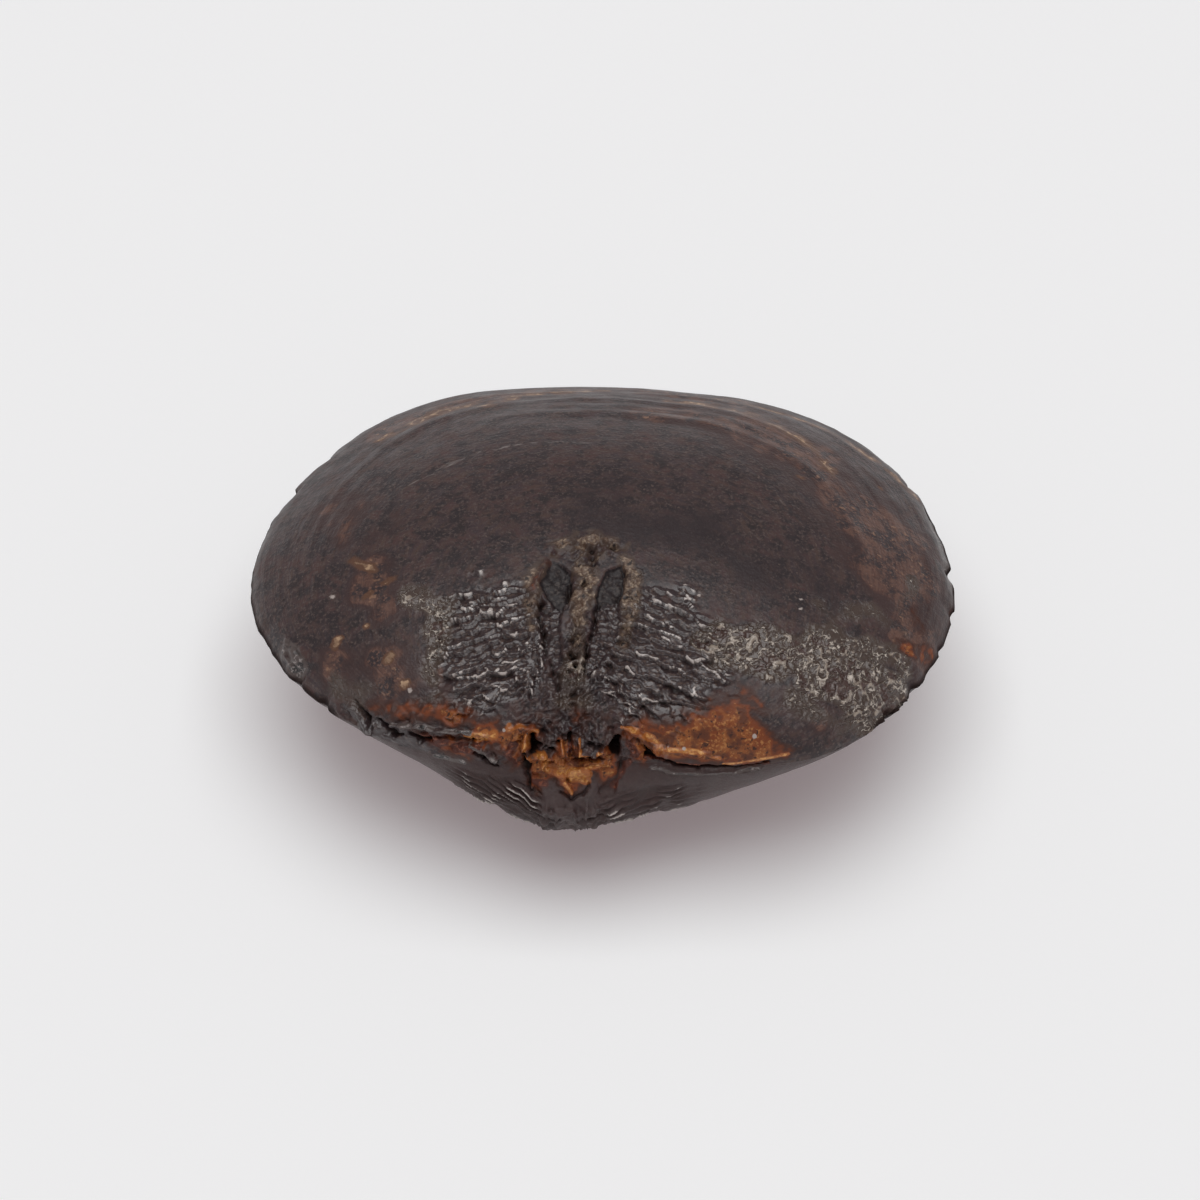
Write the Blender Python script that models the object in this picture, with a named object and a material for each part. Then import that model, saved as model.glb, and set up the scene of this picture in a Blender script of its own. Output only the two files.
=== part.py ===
"""Internal mould of an orthid brachiopod, in ironstone, lying on its ventral side.

The mould is one solid. It is drawn in the shell's own frame, in millimetres: the origin is the
middle of the hinge line, +X runs right along the hinge, +Y runs forward to the front margin and
+Z is dorsal (up). The two valves meet at the margin, in the plane Z = 0. Every point of the
surface starts as a point of a flat disc, once for each valve. The finished shape is then tipped
forward a little, trimmed flat where it lies, and set down on z = 0.
"""

import itertools
import math

import bmesh
import bpy
import numpy as np

MM = 0.001
OBJECT_NAME = "internal_mould"

# The margin, seen from above: its radius about a middle point, every 15 degrees from straight left.
MARGIN_CENTRE = (1.0, 13.0)
MARGIN_RADII = (18.8, 18.4, 17.4, 16.4, 15.2, 14.0, 13.3, 13.6, 15.2, 17.0, 17.8, 18.3,
                18.7, 18.7, 18.8, 18.6, 17.9, 17.1, 16.9, 17.2, 18.1, 18.6, 18.7, 18.8)
EDGE_HEIGHT = 0.3            # half the thickness of the blunt margin

# The two valves.
DORSAL_HEIGHT = 6.0
DORSAL_POWER = (0.62, 1.02)  # bluntness of the slope to the hinge and to the front margin
VENTRAL_DEPTH = 8.2
VENTRAL_POWER = (0.60, 1.05)
UMBO_OVERHANG = 2.7          # how far the ventral beak swells behind the hinge line
UMBO_HALF_WIDTH = (4.9, 5.6)  # to the left and to the right

# How it lies.
FORWARD_TILT = math.radians(4.0)
SEAT_TRIM = 0.25             # depth of the worn flat that it rests on

# The mesh: triangle sides are halved this many times, and more in the regions below.
COARSE_HALVINGS = 4
NOISE_CELLS = 32

# Muscle scars of the dorsal valve. Strokes are (x, y, half width) along the scar.
LEFT_SLOT = ((-1.45, 8.5, 0.15), (-1.25, 7.1, 0.75), (-1.4, 5.6, 0.62), (-1.3, 4.0, 0.5), (-0.8, 1.9, 0.2))
RIGHT_SLOT = ((2.1, 8.4, 0.15), (1.6, 6.9, 0.7), (1.4, 5.2, 0.62), (1.1, 3.7, 0.48), (0.6, 2.3, 0.2))
SLOT_DEPTH = 0.5
MEDIAN_RIDGE = ((0.2, 9.9, 1.1), (0.15, 8.0, 0.8), (0.1, 6.0, 0.8), (0.0, 3.5, 0.6), (0.0, 1.2, 0.3))
RIDGE_HEIGHT = 0.22
RIDGE_PITS = ((-0.9, 9.5, 0.35), (0.45, 9.3, 0.5), (1.5, 9.45, 0.35))
PIT_DEPTH = 0.3
SIDE_BANDS = (((-2.3, 8.3, 0.4), (-2.6, 6.7, 0.6), (-2.3, 5.0, 0.3)),
              ((2.7, 8.2, 0.4), (2.8, 6.4, 0.6), (2.5, 4.6, 0.4)))
BAND_HEIGHT = 0.12
# Wrinkled fields beside the slots: centre and half extents in x and y, and the lean of the wrinkles.
WRINKLE_FIELDS = ((-4.1, 4.3, 3.1, 3.4, 0.15), (4.4, 3.7, 3.4, 3.4, -0.2))
WRINKLE_SPACING = 0.62
WRINKLE_HEIGHT = 0.11

# The hinge, on the back face, in x and z.
SOCKETS = ((-2.1, 1.05, 0.42), (2.25, 0.95, 0.48))
SOCKET_DEPTH = 0.55
SOCKET_RIM = 0.22
WEDGE_MIDDLE = -0.05
WEDGE_LEVELS = (-1.75, -1.2, -0.5, 0.3, 0.9)      # heights above the hinge line
WEDGE_HALF_WIDTHS = (0.15, 1.35, 2.05, 2.5, 2.6)  # and the wedge's half width at each
WEDGE_HEIGHT = 0.3
GROOVE_DEPTH = 0.4
GROOVE_HALF_WIDTH = 0.32
HINGE_GROOVE = 0.22          # depth of the crack along the hinge line, outside the wedge
HINGE_GROOVE_REACH = (3.2, 9.5)

# The ventral beak, in x and z: two lobes with a furrow between, and ridges along its flanks.
UMBO_LOBES = ((-0.75, -2.5, 0.85), (0.95, -2.4, 0.95))
LOBE_HEIGHT = 0.3
FLANK_RIDGE_SPACING = 0.6
FLANK_RIDGE_SLOPE = 0.34     # how fast a ridge climbs away from the beak
FLANK_RIDGE_HEIGHT = 0.1
FLANK_REACH = 7.5
FLANK_DEPTH = 4.2

# The broken crust left of the hinge, and chips along the margin: (angle, half width, depth).
CRUST = ((-11.6, 2.4, 0.9), (-9.4, 1.0, 0.9), (-7.0, 0.7, 0.9), (-5.2, 0.5, 0.6))
CRUST_HEIGHT = 0.2
MARGIN_CHIPS = ((157, 2.2, 0.3), (148, 2.0, 0.25), (4.5, 2.2, 0.3), (-1.5, 2.0, 0.25), (-23, 2.2, 0.25),
                (-155, 3.0, 0.4))

# Scars of the ventral valve, on the underside: two low lobes and a furrow, in x and y.
UNDERSIDE_LOBES = (((-0.6, 1.0, 1.4), (-1.9, 5.5, 2.2), (-2.6, 9.5, 1.8)),
                   ((1.4, 1.0, 1.4), (2.9, 5.5, 2.2), (3.6, 9.5, 1.8)))
UNDERSIDE_HEIGHT = 0.3

IRONSTONE = (0.062, 0.045, 0.042)


def clear_scene():
    for item in list(bpy.data.objects):
        bpy.data.objects.remove(item, do_unlink=True)


def smooth_step(low, high, value):
    """0 below low, 1 above high, smooth between."""
    part = np.clip((value - low) / (high - low), 0.0, 1.0)
    return part * part * (3.0 - 2.0 * part)


def mound(distance):
    """1 at distance 0, falling smoothly to 0 at distance 1."""
    return np.clip(1.0 - distance * distance, 0.0, 1.0) ** 2


def stroke(u, v, route):
    """Closeness, 0 to 1, to a bent line of changing half width."""
    closest = np.zeros_like(u)
    for (u0, v0, w0), (u1, v1, w1) in zip(route, route[1:]):
        along_u, along_v = u1 - u0, v1 - v0
        part = ((u - u0) * along_u + (v - v0) * along_v) / (along_u**2 + along_v**2)
        part = np.clip(part, 0.0, 1.0)
        away = np.hypot(u - u0 - part * along_u, v - v0 - part * along_v)
        closest = np.maximum(closest, mound(away / (w0 + part * (w1 - w0))))
    return closest


def lumps(points, size, seed):
    """Smooth lumps about this size, from -1 to 1, at points in space."""
    lattice = np.random.default_rng(seed).uniform(-1.0, 1.0, (NOISE_CELLS,) * 3)
    cell = points / size
    low = np.floor(cell).astype(int)
    part = cell - low
    part = part * part * (3.0 - 2.0 * part)
    total = np.zeros(len(points))
    for corner in itertools.product((0, 1), repeat=3):
        index = (low + corner) % NOISE_CELLS
        weight = np.prod(np.where(corner, part, 1.0 - part), axis=1)
        total += weight * lattice[index[:, 0], index[:, 1], index[:, 2]]
    return total


def margin_radius(angle):
    """Radius of the margin at each angle: a smooth closed curve through MARGIN_RADII."""
    radii = np.array(MARGIN_RADII)
    count = len(radii)
    place = (angle + math.pi) / (2.0 * math.pi) * count
    low = np.floor(place).astype(int)
    part = place - low
    before, start, end, after = (radii[(low + step) % count] for step in (-1, 0, 1, 2))
    bend = 2.0 * before - 5.0 * start + 4.0 * end - after
    twist = 3.0 * (start - end) + after - before
    return start + 0.5 * part * (end - before + part * (bend + part * twist))


def margin_chips(angle):
    """How deep the chips cut into the margin at each angle."""
    depth = np.zeros_like(angle)
    for chip_angle, half_width, chip_depth in MARGIN_CHIPS:
        away = np.degrees(np.angle(np.exp(1j * (angle - math.radians(chip_angle)))))
        depth += chip_depth * mound(away / half_width)
    return depth


def valve_points(radius, angle, dorsal):
    """The smooth mould: disc points, as radius 0 to 1 and angle, to the shell's frame."""
    reach = radius * margin_radius(angle) - smooth_step(0.94, 1.0, radius) * margin_chips(angle)
    x = MARGIN_CENTRE[0] + reach * np.cos(angle)
    y = MARGIN_CENTRE[1] + reach * np.sin(angle)
    edge = EDGE_HEIGHT * np.sqrt(1.0 - radius**30)
    front = 0.5 + 0.5 * np.sin(angle)
    dorsal_power = DORSAL_POWER[0] + front * (DORSAL_POWER[1] - DORSAL_POWER[0])
    top = DORSAL_HEIGHT * (1.0 - radius**2.1) ** dorsal_power
    behind = smooth_step(0.17, 0.0, front)
    ventral_power = VENTRAL_POWER[1] + behind * (VENTRAL_POWER[0] - VENTRAL_POWER[1])
    depth = (1.0 - radius**2.2) ** ventral_power
    z = np.where(dorsal, top + edge, -VENTRAL_DEPTH * depth - edge)
    half_width = np.where(x < 0.0, UMBO_HALF_WIDTH[0], UMBO_HALF_WIDTH[1])
    swell = np.sin(math.pi * depth**0.8) ** 1.2 * np.exp(-np.abs(x / half_width) ** 1.7)
    y = y - np.where(dorsal, 0.0, UMBO_OVERHANG * swell * np.clip(1.0 - y / 8.0, 0.0, 1.0))
    return np.stack([x, y, z], axis=1)


def outward(radius, angle, dorsal):
    """Unit normals of the smooth mould. At the margin they lie in its plane."""
    inner = np.clip(radius - 0.004, 0.001, 1.0)
    turn = 0.004
    along = valve_points(inner + 0.003, angle, dorsal) - valve_points(inner, angle, dorsal)
    around = valve_points(inner, angle + turn, dorsal) - valve_points(inner, angle - turn, dorsal)
    normals = np.cross(along, around) * np.where(dorsal, 1.0, -1.0)[:, None]
    rim = (radius > 0.9999)[:, None]
    level = np.stack([np.cos(angle), np.sin(angle), np.zeros_like(angle)], axis=1)
    normals = np.where(rim, level, normals)
    return normals / np.linalg.norm(normals, axis=1, keepdims=True)


def muscle_relief(x, y):
    """Two slots with a ridge between them and a raised band on each side."""
    slots = np.maximum(stroke(x, y, LEFT_SLOT), stroke(x, y, RIGHT_SLOT)) ** 0.5
    pits = sum(mound(np.hypot(x - px, y - py) / size) for px, py, size in RIDGE_PITS)
    bands = sum(stroke(x, y, route) for route in SIDE_BANDS)
    relief = RIDGE_HEIGHT * stroke(x, y, MEDIAN_RIDGE) + BAND_HEIGHT * bands
    return relief * (1.0 - slots) - SLOT_DEPTH * slots - PIT_DEPTH * pits


def wrinkle_relief(x, y, base):
    """Short crowded wrinkles, running outward, in a field on each side of the slots."""
    wander = 0.22 * lumps(base, 1.3, seed=3)
    relief = np.zeros_like(x)
    for centre_x, centre_y, half_x, half_y, lean in WRINKLE_FIELDS:
        field = mound(np.hypot((x - centre_x) / half_x, (y - centre_y) / half_y) * 0.8)
        phase = (y + lean * (x - centre_x) + wander) / WRINKLE_SPACING
        relief += WRINKLE_HEIGHT * np.sqrt(field) * np.sin(2.0 * math.pi * phase)
    return relief * (0.75 + 0.5 * lumps(base, 0.9, seed=4))


def hinge_relief(x, z):
    """The back face: two sockets with raised rims and a wedge between two sloping grooves."""
    relief = np.zeros_like(x)
    for socket_x, socket_z, size in SOCKETS:
        away = np.hypot(x - socket_x, z - socket_z) / size
        relief += SOCKET_RIM * mound((away - 1.35) / 0.6) - SOCKET_DEPTH * mound(away)
    reach = np.abs(x - WEDGE_MIDDLE)
    outside = reach - np.interp(z, WEDGE_LEVELS, WEDGE_HALF_WIDTHS)
    span = smooth_step(WEDGE_LEVELS[0] - 0.2, WEDGE_LEVELS[1], z) * smooth_step(WEDGE_LEVELS[-1], 0.0, z)
    relief += WEDGE_HEIGHT * span * smooth_step(0.1, -0.3, outside)
    relief -= GROOVE_DEPTH * span * mound((outside - 0.1) / GROOVE_HALF_WIDTH)
    near, far = HINGE_GROOVE_REACH
    crack = mound((z + 0.15) / 0.3) * smooth_step(near - 0.6, near, reach) * smooth_step(far, far - 2.0, reach)
    return relief - HINGE_GROOVE * crack


def beak_relief(x, z, base):
    """The ventral beak: two lobes, and ridges that climb away from it along both flanks."""
    relief = np.zeros_like(x)
    for lobe_x, lobe_z, size in UMBO_LOBES:
        relief += LOBE_HEIGHT * mound(np.hypot(x - lobe_x, z - lobe_z) / size)
    phase = (z - FLANK_RIDGE_SLOPE * np.abs(x) + 0.15 * lumps(base, 1.1, seed=5)) / FLANK_RIDGE_SPACING
    field = smooth_step(1.3, 2.2, np.abs(x)) * smooth_step(FLANK_REACH, FLANK_REACH - 3.0, np.abs(x))
    field = field * smooth_step(-0.35, -0.8, z) * smooth_step(-FLANK_DEPTH, -FLANK_DEPTH + 1.0, z)
    return relief + FLANK_RIDGE_HEIGHT * field * np.sin(2.0 * math.pi * phase)


def relief_at(radius, angle, dorsal, base):
    """How far the surface stands out from the smooth mould, in millimetres."""
    x, y, z = base.T
    back = smooth_step(3.2, 1.8, y)
    top = muscle_relief(x, y) + wrinkle_relief(x, y, base) + CRUST_HEIGHT * stroke(x, y, CRUST)
    lobes = np.maximum(*(stroke(x, y, route) for route in UNDERSIDE_LOBES))
    under = back * beak_relief(x, z, base) + UNDERSIDE_HEIGHT * lobes * smooth_step(-4.5, -6.5, z)
    relief = np.where(dorsal, top, under) * (radius < 0.9999)
    uneven = 0.05 * lumps(base, 3.5, seed=1)
    return relief + uneven + back * hinge_relief(x, z)


def mould_points(disc):
    """Disc points (x, y, valve side) to the finished surface in the shell's frame."""
    radius = np.sin(0.5 * math.pi * np.clip(np.hypot(disc[:, 0], disc[:, 1]), 0.0, 1.0))
    angle = np.arctan2(disc[:, 1], disc[:, 0])
    dorsal = disc[:, 2] >= 0.0
    base = valve_points(radius, angle, dorsal)
    relief = relief_at(radius, angle, dorsal, base)
    return base + outward(radius, angle, dorsal) * relief[:, None]


def lay_down(points):
    """Tips the mould forward, trims its seat flat and centres it on the origin, on z = 0."""
    x, y, z = points.T
    tilt_cos, tilt_sin = math.cos(FORWARD_TILT), math.sin(FORWARD_TILT)
    laid = np.stack([x, y * tilt_cos + z * tilt_sin, z * tilt_cos - y * tilt_sin], axis=1)
    seat = laid[:, 2].min() + SEAT_TRIM
    laid[:, 2] = np.maximum(laid[:, 2], seat) - seat
    laid[:, :2] -= 0.5 * (laid[:, :2].min(axis=0) + laid[:, :2].max(axis=0))
    return laid


def vertex_array(mesh):
    return np.array([vertex.co[:] for vertex in mesh.verts])


def disc_places(corners):
    """Vertices of a six-sided double pyramid to disc points, with the valve's side as z."""
    height = np.clip(np.abs(corners[:, 2]), 0.0, 1.0)
    spread = np.hypot(corners[:, 0], corners[:, 1])
    scale = np.where(spread > 1e-6, (1.0 - height) / np.maximum(spread, 1e-6), 0.0)
    side = np.where(corners[:, 2] < -1e-5, -1.0, 1.0)
    return np.stack([corners[:, 0] * scale, corners[:, 1] * scale, side], axis=1)


def halve_sides(mesh, chosen):
    """Cuts the chosen edges at the middle, and splits the faces beside them into triangles."""
    bmesh.ops.subdivide_edges(mesh, edges=chosen, cuts=1, use_grid_fill=True)
    bmesh.ops.triangulate(mesh, faces=[face for face in mesh.faces if len(face.verts) > 3])


def detail_wanted(points, fine):
    """True where the mould carries small relief: the muscle scars, the hinge and the beak."""
    x, y, z = points.T
    dorsal = z >= -0.2
    scars = (np.abs(x - 0.2) < 7.4) & (y < 8.0) & dorsal
    ridge_end = (np.abs(x - 0.2) < 3.2) & (y < 10.6) & dorsal
    beak = (np.abs(x) < (4.5 if fine else 8.0)) & (y < 2.5) & (z > -4.0)
    return scars | ridge_end | beak


def refined_pyramid():
    """A double pyramid in small triangles: its two points become the middles of the valves."""
    mesh = bmesh.new()
    bmesh.ops.create_uvsphere(mesh, u_segments=6, v_segments=2, radius=1.0)
    for _ in range(COARSE_HALVINGS):
        halve_sides(mesh, mesh.edges[:])
    for fine in (False, True):
        wanted = detail_wanted(mould_points(disc_places(vertex_array(mesh))), fine)
        mesh.verts.index_update()
        chosen = [edge for edge in mesh.edges if wanted[edge.verts[0].index] and wanted[edge.verts[1].index]]
        halve_sides(mesh, chosen)
    return mesh


def add_mould(collection):
    shape = refined_pyramid()
    places = lay_down(mould_points(disc_places(vertex_array(shape)))) * MM
    for vertex, place in zip(shape.verts, places):
        vertex.co = place
    bmesh.ops.recalc_face_normals(shape, faces=shape.faces[:])
    mesh = bpy.data.meshes.new(OBJECT_NAME)
    shape.to_mesh(mesh)
    shape.free()
    mesh.shade_smooth()
    mould = bpy.data.objects.new(OBJECT_NAME, mesh)
    collection.objects.link(mould)
    return mould


def ironstone():
    material = bpy.data.materials.new("ironstone")
    material.use_nodes = True
    surface = material.node_tree.nodes["Principled BSDF"]
    surface.inputs["Base Color"].default_value = (*IRONSTONE, 1.0)
    surface.inputs["Roughness"].default_value = 0.55
    surface.inputs["Metallic"].default_value = 0.0
    return material


def main():
    clear_scene()
    collection = bpy.data.collections.new("brachiopod_mould")
    bpy.context.scene.collection.children.link(collection)
    add_mould(collection).data.materials.append(ironstone())


main()
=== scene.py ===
"""Internal mould of an orthid brachiopod: the filling of a shell that has since dissolved.

The stone is one piece. Its form is drawn in the shell's own frame, in millimetres: the origin is
the middle of the hinge line, +X runs right along the hinge, +Y runs forward to the front margin
and +Z is dorsal (up). Finer relief is added over that form, and the same functions that raise the
relief also write the attributes that colour it. lay_down() then sets the mould on the ground.
"""

import functools
import itertools
import math

import bmesh
import bpy
import numpy as np
from mathutils import Matrix, Vector


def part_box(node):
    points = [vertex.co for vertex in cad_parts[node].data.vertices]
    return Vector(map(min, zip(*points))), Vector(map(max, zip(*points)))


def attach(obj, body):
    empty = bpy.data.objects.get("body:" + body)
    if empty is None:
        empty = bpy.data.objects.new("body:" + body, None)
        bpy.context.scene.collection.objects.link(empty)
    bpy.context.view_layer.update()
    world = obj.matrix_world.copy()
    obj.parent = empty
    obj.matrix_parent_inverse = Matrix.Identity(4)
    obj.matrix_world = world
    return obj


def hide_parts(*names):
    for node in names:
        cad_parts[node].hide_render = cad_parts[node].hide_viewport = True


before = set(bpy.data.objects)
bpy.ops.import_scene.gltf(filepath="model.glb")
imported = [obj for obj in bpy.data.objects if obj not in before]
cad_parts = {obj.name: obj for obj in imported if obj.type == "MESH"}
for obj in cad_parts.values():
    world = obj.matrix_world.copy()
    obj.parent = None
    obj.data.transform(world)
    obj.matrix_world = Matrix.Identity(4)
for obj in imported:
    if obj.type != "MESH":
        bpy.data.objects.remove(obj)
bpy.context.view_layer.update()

CAD_NODE = "internal_mould"
MM = 0.001

# ---------------------------------------------------------------- sizes of the smooth mould, mm

# The margin, seen from above: its radius about a middle point, every 15 degrees from straight left.
MARGIN_CENTRE = (1.0, 13.0)
MARGIN_RADII = (18.8, 18.4, 17.4, 16.4, 15.2, 14.0, 13.3, 13.6, 15.2, 17.0, 17.8, 18.3,
                18.7, 18.7, 18.8, 18.6, 17.9, 17.1, 16.9, 17.2, 18.1, 18.6, 18.7, 18.8)
EDGE_HEIGHT = 0.3            # half the thickness of the blunt margin
CHIPS_FROM = 0.94            # the share of the radius past which chips cut the margin
# Powers of the radius, which say how flat each top is and how late it falls away.
EDGE_FLATNESS = 30
DORSAL_FLATNESS = 2.1
VENTRAL_FLATNESS = 2.2
DORSAL_HEIGHT = 6.0
DORSAL_POWER = (0.62, 1.02)  # bluntness of the slope to the hinge and to the front margin
VENTRAL_DEPTH = 8.2
VENTRAL_POWER = (0.60, 1.05)
VENTRAL_HINGE_SHARE = 0.17   # how far forward, 0 to 1, the blunter slope at the hinge lasts
UMBO_OVERHANG = 2.7          # how far the ventral beak swells behind the hinge line
UMBO_HALF_WIDTH = (4.9, 5.6)  # to the left and to the right
UMBO_LENGTH = 8.0            # how far forward of the hinge line the swelling ends
FORWARD_TILT = math.radians(4.0)
SEAT_TRIM = 0.25             # depth of the worn flat that it rests on
SKIN_INSET = 0.07            # keeps the finest relief inside the solid's own box

# ---------------------------------------------------------------- relief on the dorsal valve, mm
# A route is a list of (x, y, half width), and an outline a closed list of (x, y). A form that is
# listed with a height or a depth has it as its first number.

# Each slot is a flat broken facet, then a scaly channel that narrows towards the hinge. A facet's
# second number is its slope to the side.
SLOT_FACETS = (
    (0.26, 0.15, ((-1.55, 8.7), (-0.9, 8.3), (-0.45, 7.9), (-0.38, 6.6), (-0.75, 5.6), (-1.3, 5.9),
                  (-1.7, 6.4), (-2.1, 7.2), (-1.8, 7.8))),
    (0.24, 0.16, ((2.15, 8.65), (1.3, 8.15), (1.0, 7.3), (0.8, 6.5), (0.95, 5.95), (1.6, 6.05),
                  (2.1, 6.3), (2.27, 7.0), (2.32, 7.8))),
)
SLOT_CHANNELS = (
    ((-2.05, 6.3), (-1.97, 4.5), (-1.5, 3.5), (-1.05, 2.5), (-0.75, 2.7), (-0.72, 3.5), (-0.85, 4.8),
     (-0.7, 5.8)),
    ((0.9, 6.0), (2.1, 6.4), (2.15, 5.0), (2.0, 4.2), (1.5, 3.4), (0.7, 2.4), (0.45, 2.6), (0.5, 4.0),
     (0.7, 5.0)),
)
CHANNEL_DEPTH = 0.28
CHANNEL_SCALE = 0.36         # size of the scales on the floor of the channels
CHANNEL_SCALE_HEIGHT = 0.24
FACET_FLOOR = 0.25           # depth to which a facet is not darkened with painted shade as a hollow
CREVICES = (
    (0.34, ((-2.05, 6.6, 0.08), (-1.98, 5.3, 0.2), (-1.75, 4.2, 0.22), (-1.35, 3.2, 0.2),
            (-0.98, 2.4, 0.1))),
    (0.3, ((0.95, 6.1, 0.1), (0.75, 5.0, 0.18), (0.5, 3.9, 0.22), (0.5, 2.6, 0.1))),
    (0.2, ((-0.42, 7.9, 0.1), (-0.36, 6.8, 0.16), (-0.6, 5.8, 0.12))),
    (0.22, ((2.2, 8.5, 0.08), (2.25, 7.5, 0.16), (2.1, 6.5, 0.1))),
)
MEDIAN_RIDGE = ((0.3, 9.6, 1.5), (0.25, 8.0, 0.8), (0.2, 6.0, 0.75), (0.05, 4.0, 0.7), (-0.05, 2.2, 0.4))
RIDGE_HEIGHT = 0.07
RIDGE_END = ((-1.15, 9.5, 0.8), (0.2, 9.7, 0.7), (1.7, 9.6, 0.75))
RIDGE_PITS = ((-0.94, 9.7, 0.22), (0.36, 9.35, 0.5), (0.5, 8.75, 0.42), (1.56, 9.65, 0.2),
              (0.3, 7.2, 0.2), (-1.35, 9.2, 0.2))
PIT_DEPTH = 0.3
SIDE_LIPS = (
    (0.2, ((-1.75, 8.5, 0.2), (-2.15, 7.6, 0.38), (-2.4, 6.8, 0.3), (-2.2, 5.6, 0.25))),
    (0.12, ((2.6, 8.1, 0.25), (2.75, 7.2, 0.4), (2.7, 5.6, 0.45), (2.5, 4.2, 0.4))),
    (0.1, ((-2.6, 5.6, 0.3), (-2.4, 4.4, 0.35), (-1.9, 3.0, 0.3))),
)

# Scaly muscle scars: centre, half extents, lean, and the length and width of a scale.
SCALE_FIELDS = (
    (-4.5, 4.1, 2.7, 3.5, 0.1, 0.72, 0.44),
    (-2.3, 4.0, 0.9, 2.7, -1.5, 0.6, 0.4),
    (4.5, 3.7, 3.3, 3.1, -0.28, 0.9, 0.46),
)
LUMPY_MIDDLE = ((0.0, 3.2, 0.9), (-0.2, 1.7, 3.6), (-0.2, 0.7, 4.0))
SCALE_HEIGHT = 0.3
SCALE_LIP = 0.06

# Crusts of fine crooked ridges: strength, then route.
CRUSTS = (
    (1.2, ((6.4, 4.3, 1.0), (7.6, 4.4, 1.9), (8.8, 4.2, 2.1), (9.8, 3.7, 1.6))),
    (1.3, ((12.0, 3.3, 1.3), (13.6, 4.0, 2.2), (15.2, 4.4, 2.1), (16.8, 5.0, 1.4))),
    (0.75, ((9.4, 4.8, 1.8), (11.4, 4.6, 2.2), (13.0, 5.8, 1.8), (16.6, 6.6, 1.4))),
    (0.6, ((11.0, 2.2, 1.2), (13.4, 1.9, 1.1), (15.4, 2.9, 1.0))),
    (0.75, ((-8.9, 7.2, 1.2), (-7.2, 6.2, 1.7), (-7.0, 4.4, 1.3), (-7.3, 2.6, 0.8))),
    (0.6, ((0.1, 5.2, 0.8), (0.0, 3.0, 1.1), (0.0, 1.5, 2.0))),
    (0.45, ((2.7, 7.8, 0.9), (2.9, 5.8, 0.9), (2.4, 4.0, 0.6))),
    (0.5, ((13.0, 8.0, 1.6), (16.4, 8.6, 1.6), (17.4, 12.0, 1.2))),
    (0.4, ((-12.6, 3.8, 0.9), (-10.4, 2.6, 1.0), (-8.0, 1.7, 0.9), (-5.6, 1.3, 0.7))),
)
CRUST_RIDGE_SPACING = 0.5
CRUST_RIDGE_HEIGHT = 0.16

# Growth lines, as a share of the way from the hinge to the margin, and the height of each step.
GROWTH_LINES = ((0.655, 0.04), (0.742, 0.12), (0.78, 0.08), (0.82, 0.09), (0.86, 0.05), (0.895, 0.08),
                (0.925, 0.045), (0.95, 0.05), (0.972, 0.04))
GROWTH_LINE_WIDTH = 0.012
GROWTH_LEDGE_WIDTH = 0.03
WRINKLE_HEIGHT = 0.012
WRINKLE_RATE = 360.0         # radians of fine wrinkle from the hinge to the margin
CREASE = ((-8.2, 14.4, 0.16), (-6.8, 14.3, 0.2), (-3.8, 12.0, 0.22), (-2.7, 10.6, 0.15))
CREASE_HEIGHT = 0.05

MARGIN_RAGGEDNESS = 0.12     # fine unevenness all along the margin
# Bearing in degrees, how far the chip runs clockwise and the other way, and its depth.
MARGIN_CHIPS = ((158, 0.9, 5.0, 0.34), (148, 0.9, 4.5, 0.3), (136, 1.0, 4.0, 0.22),
                (6.5, 4.0, 1.2, 0.26), (-3.5, 2.6, 1.0, 0.2), (-13, 1.0, 2.0, 0.16),
                (-23, 2.8, 1.0, 0.25), (-31, 1.6, 1.0, 0.2), (28, 1.0, 3.0, 0.18),
                (-152, 2.4, 1.2, 0.3), (-146, 1.0, 2.0, 0.25), (-166, 1.0, 2.5, 0.15))
RIM_FACET = ((18.1, 20.2, 0.35), (19.0, 16.8, 0.5), (19.4, 13.4, 0.35))
FACET_DEPTH = 0.06
# A flake of glossy grey shell on the left margin, in curved steps.
SHELL_FLAKE = ((-15.3, 6.9, 0.35), (-14.7, 5.8, 0.75), (-14.1, 4.9, 0.5))
FLAKE_CENTRE = (-13.0, 6.6)  # what its steps curve round
FLAKE_STEP = 0.42
FLAKE_HEIGHT = 0.16

# ---------------------------------------------------------------- relief on the back face, mm
# Here a route is (x, z, half width). The face holds the hinge and its two dental sockets.

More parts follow.
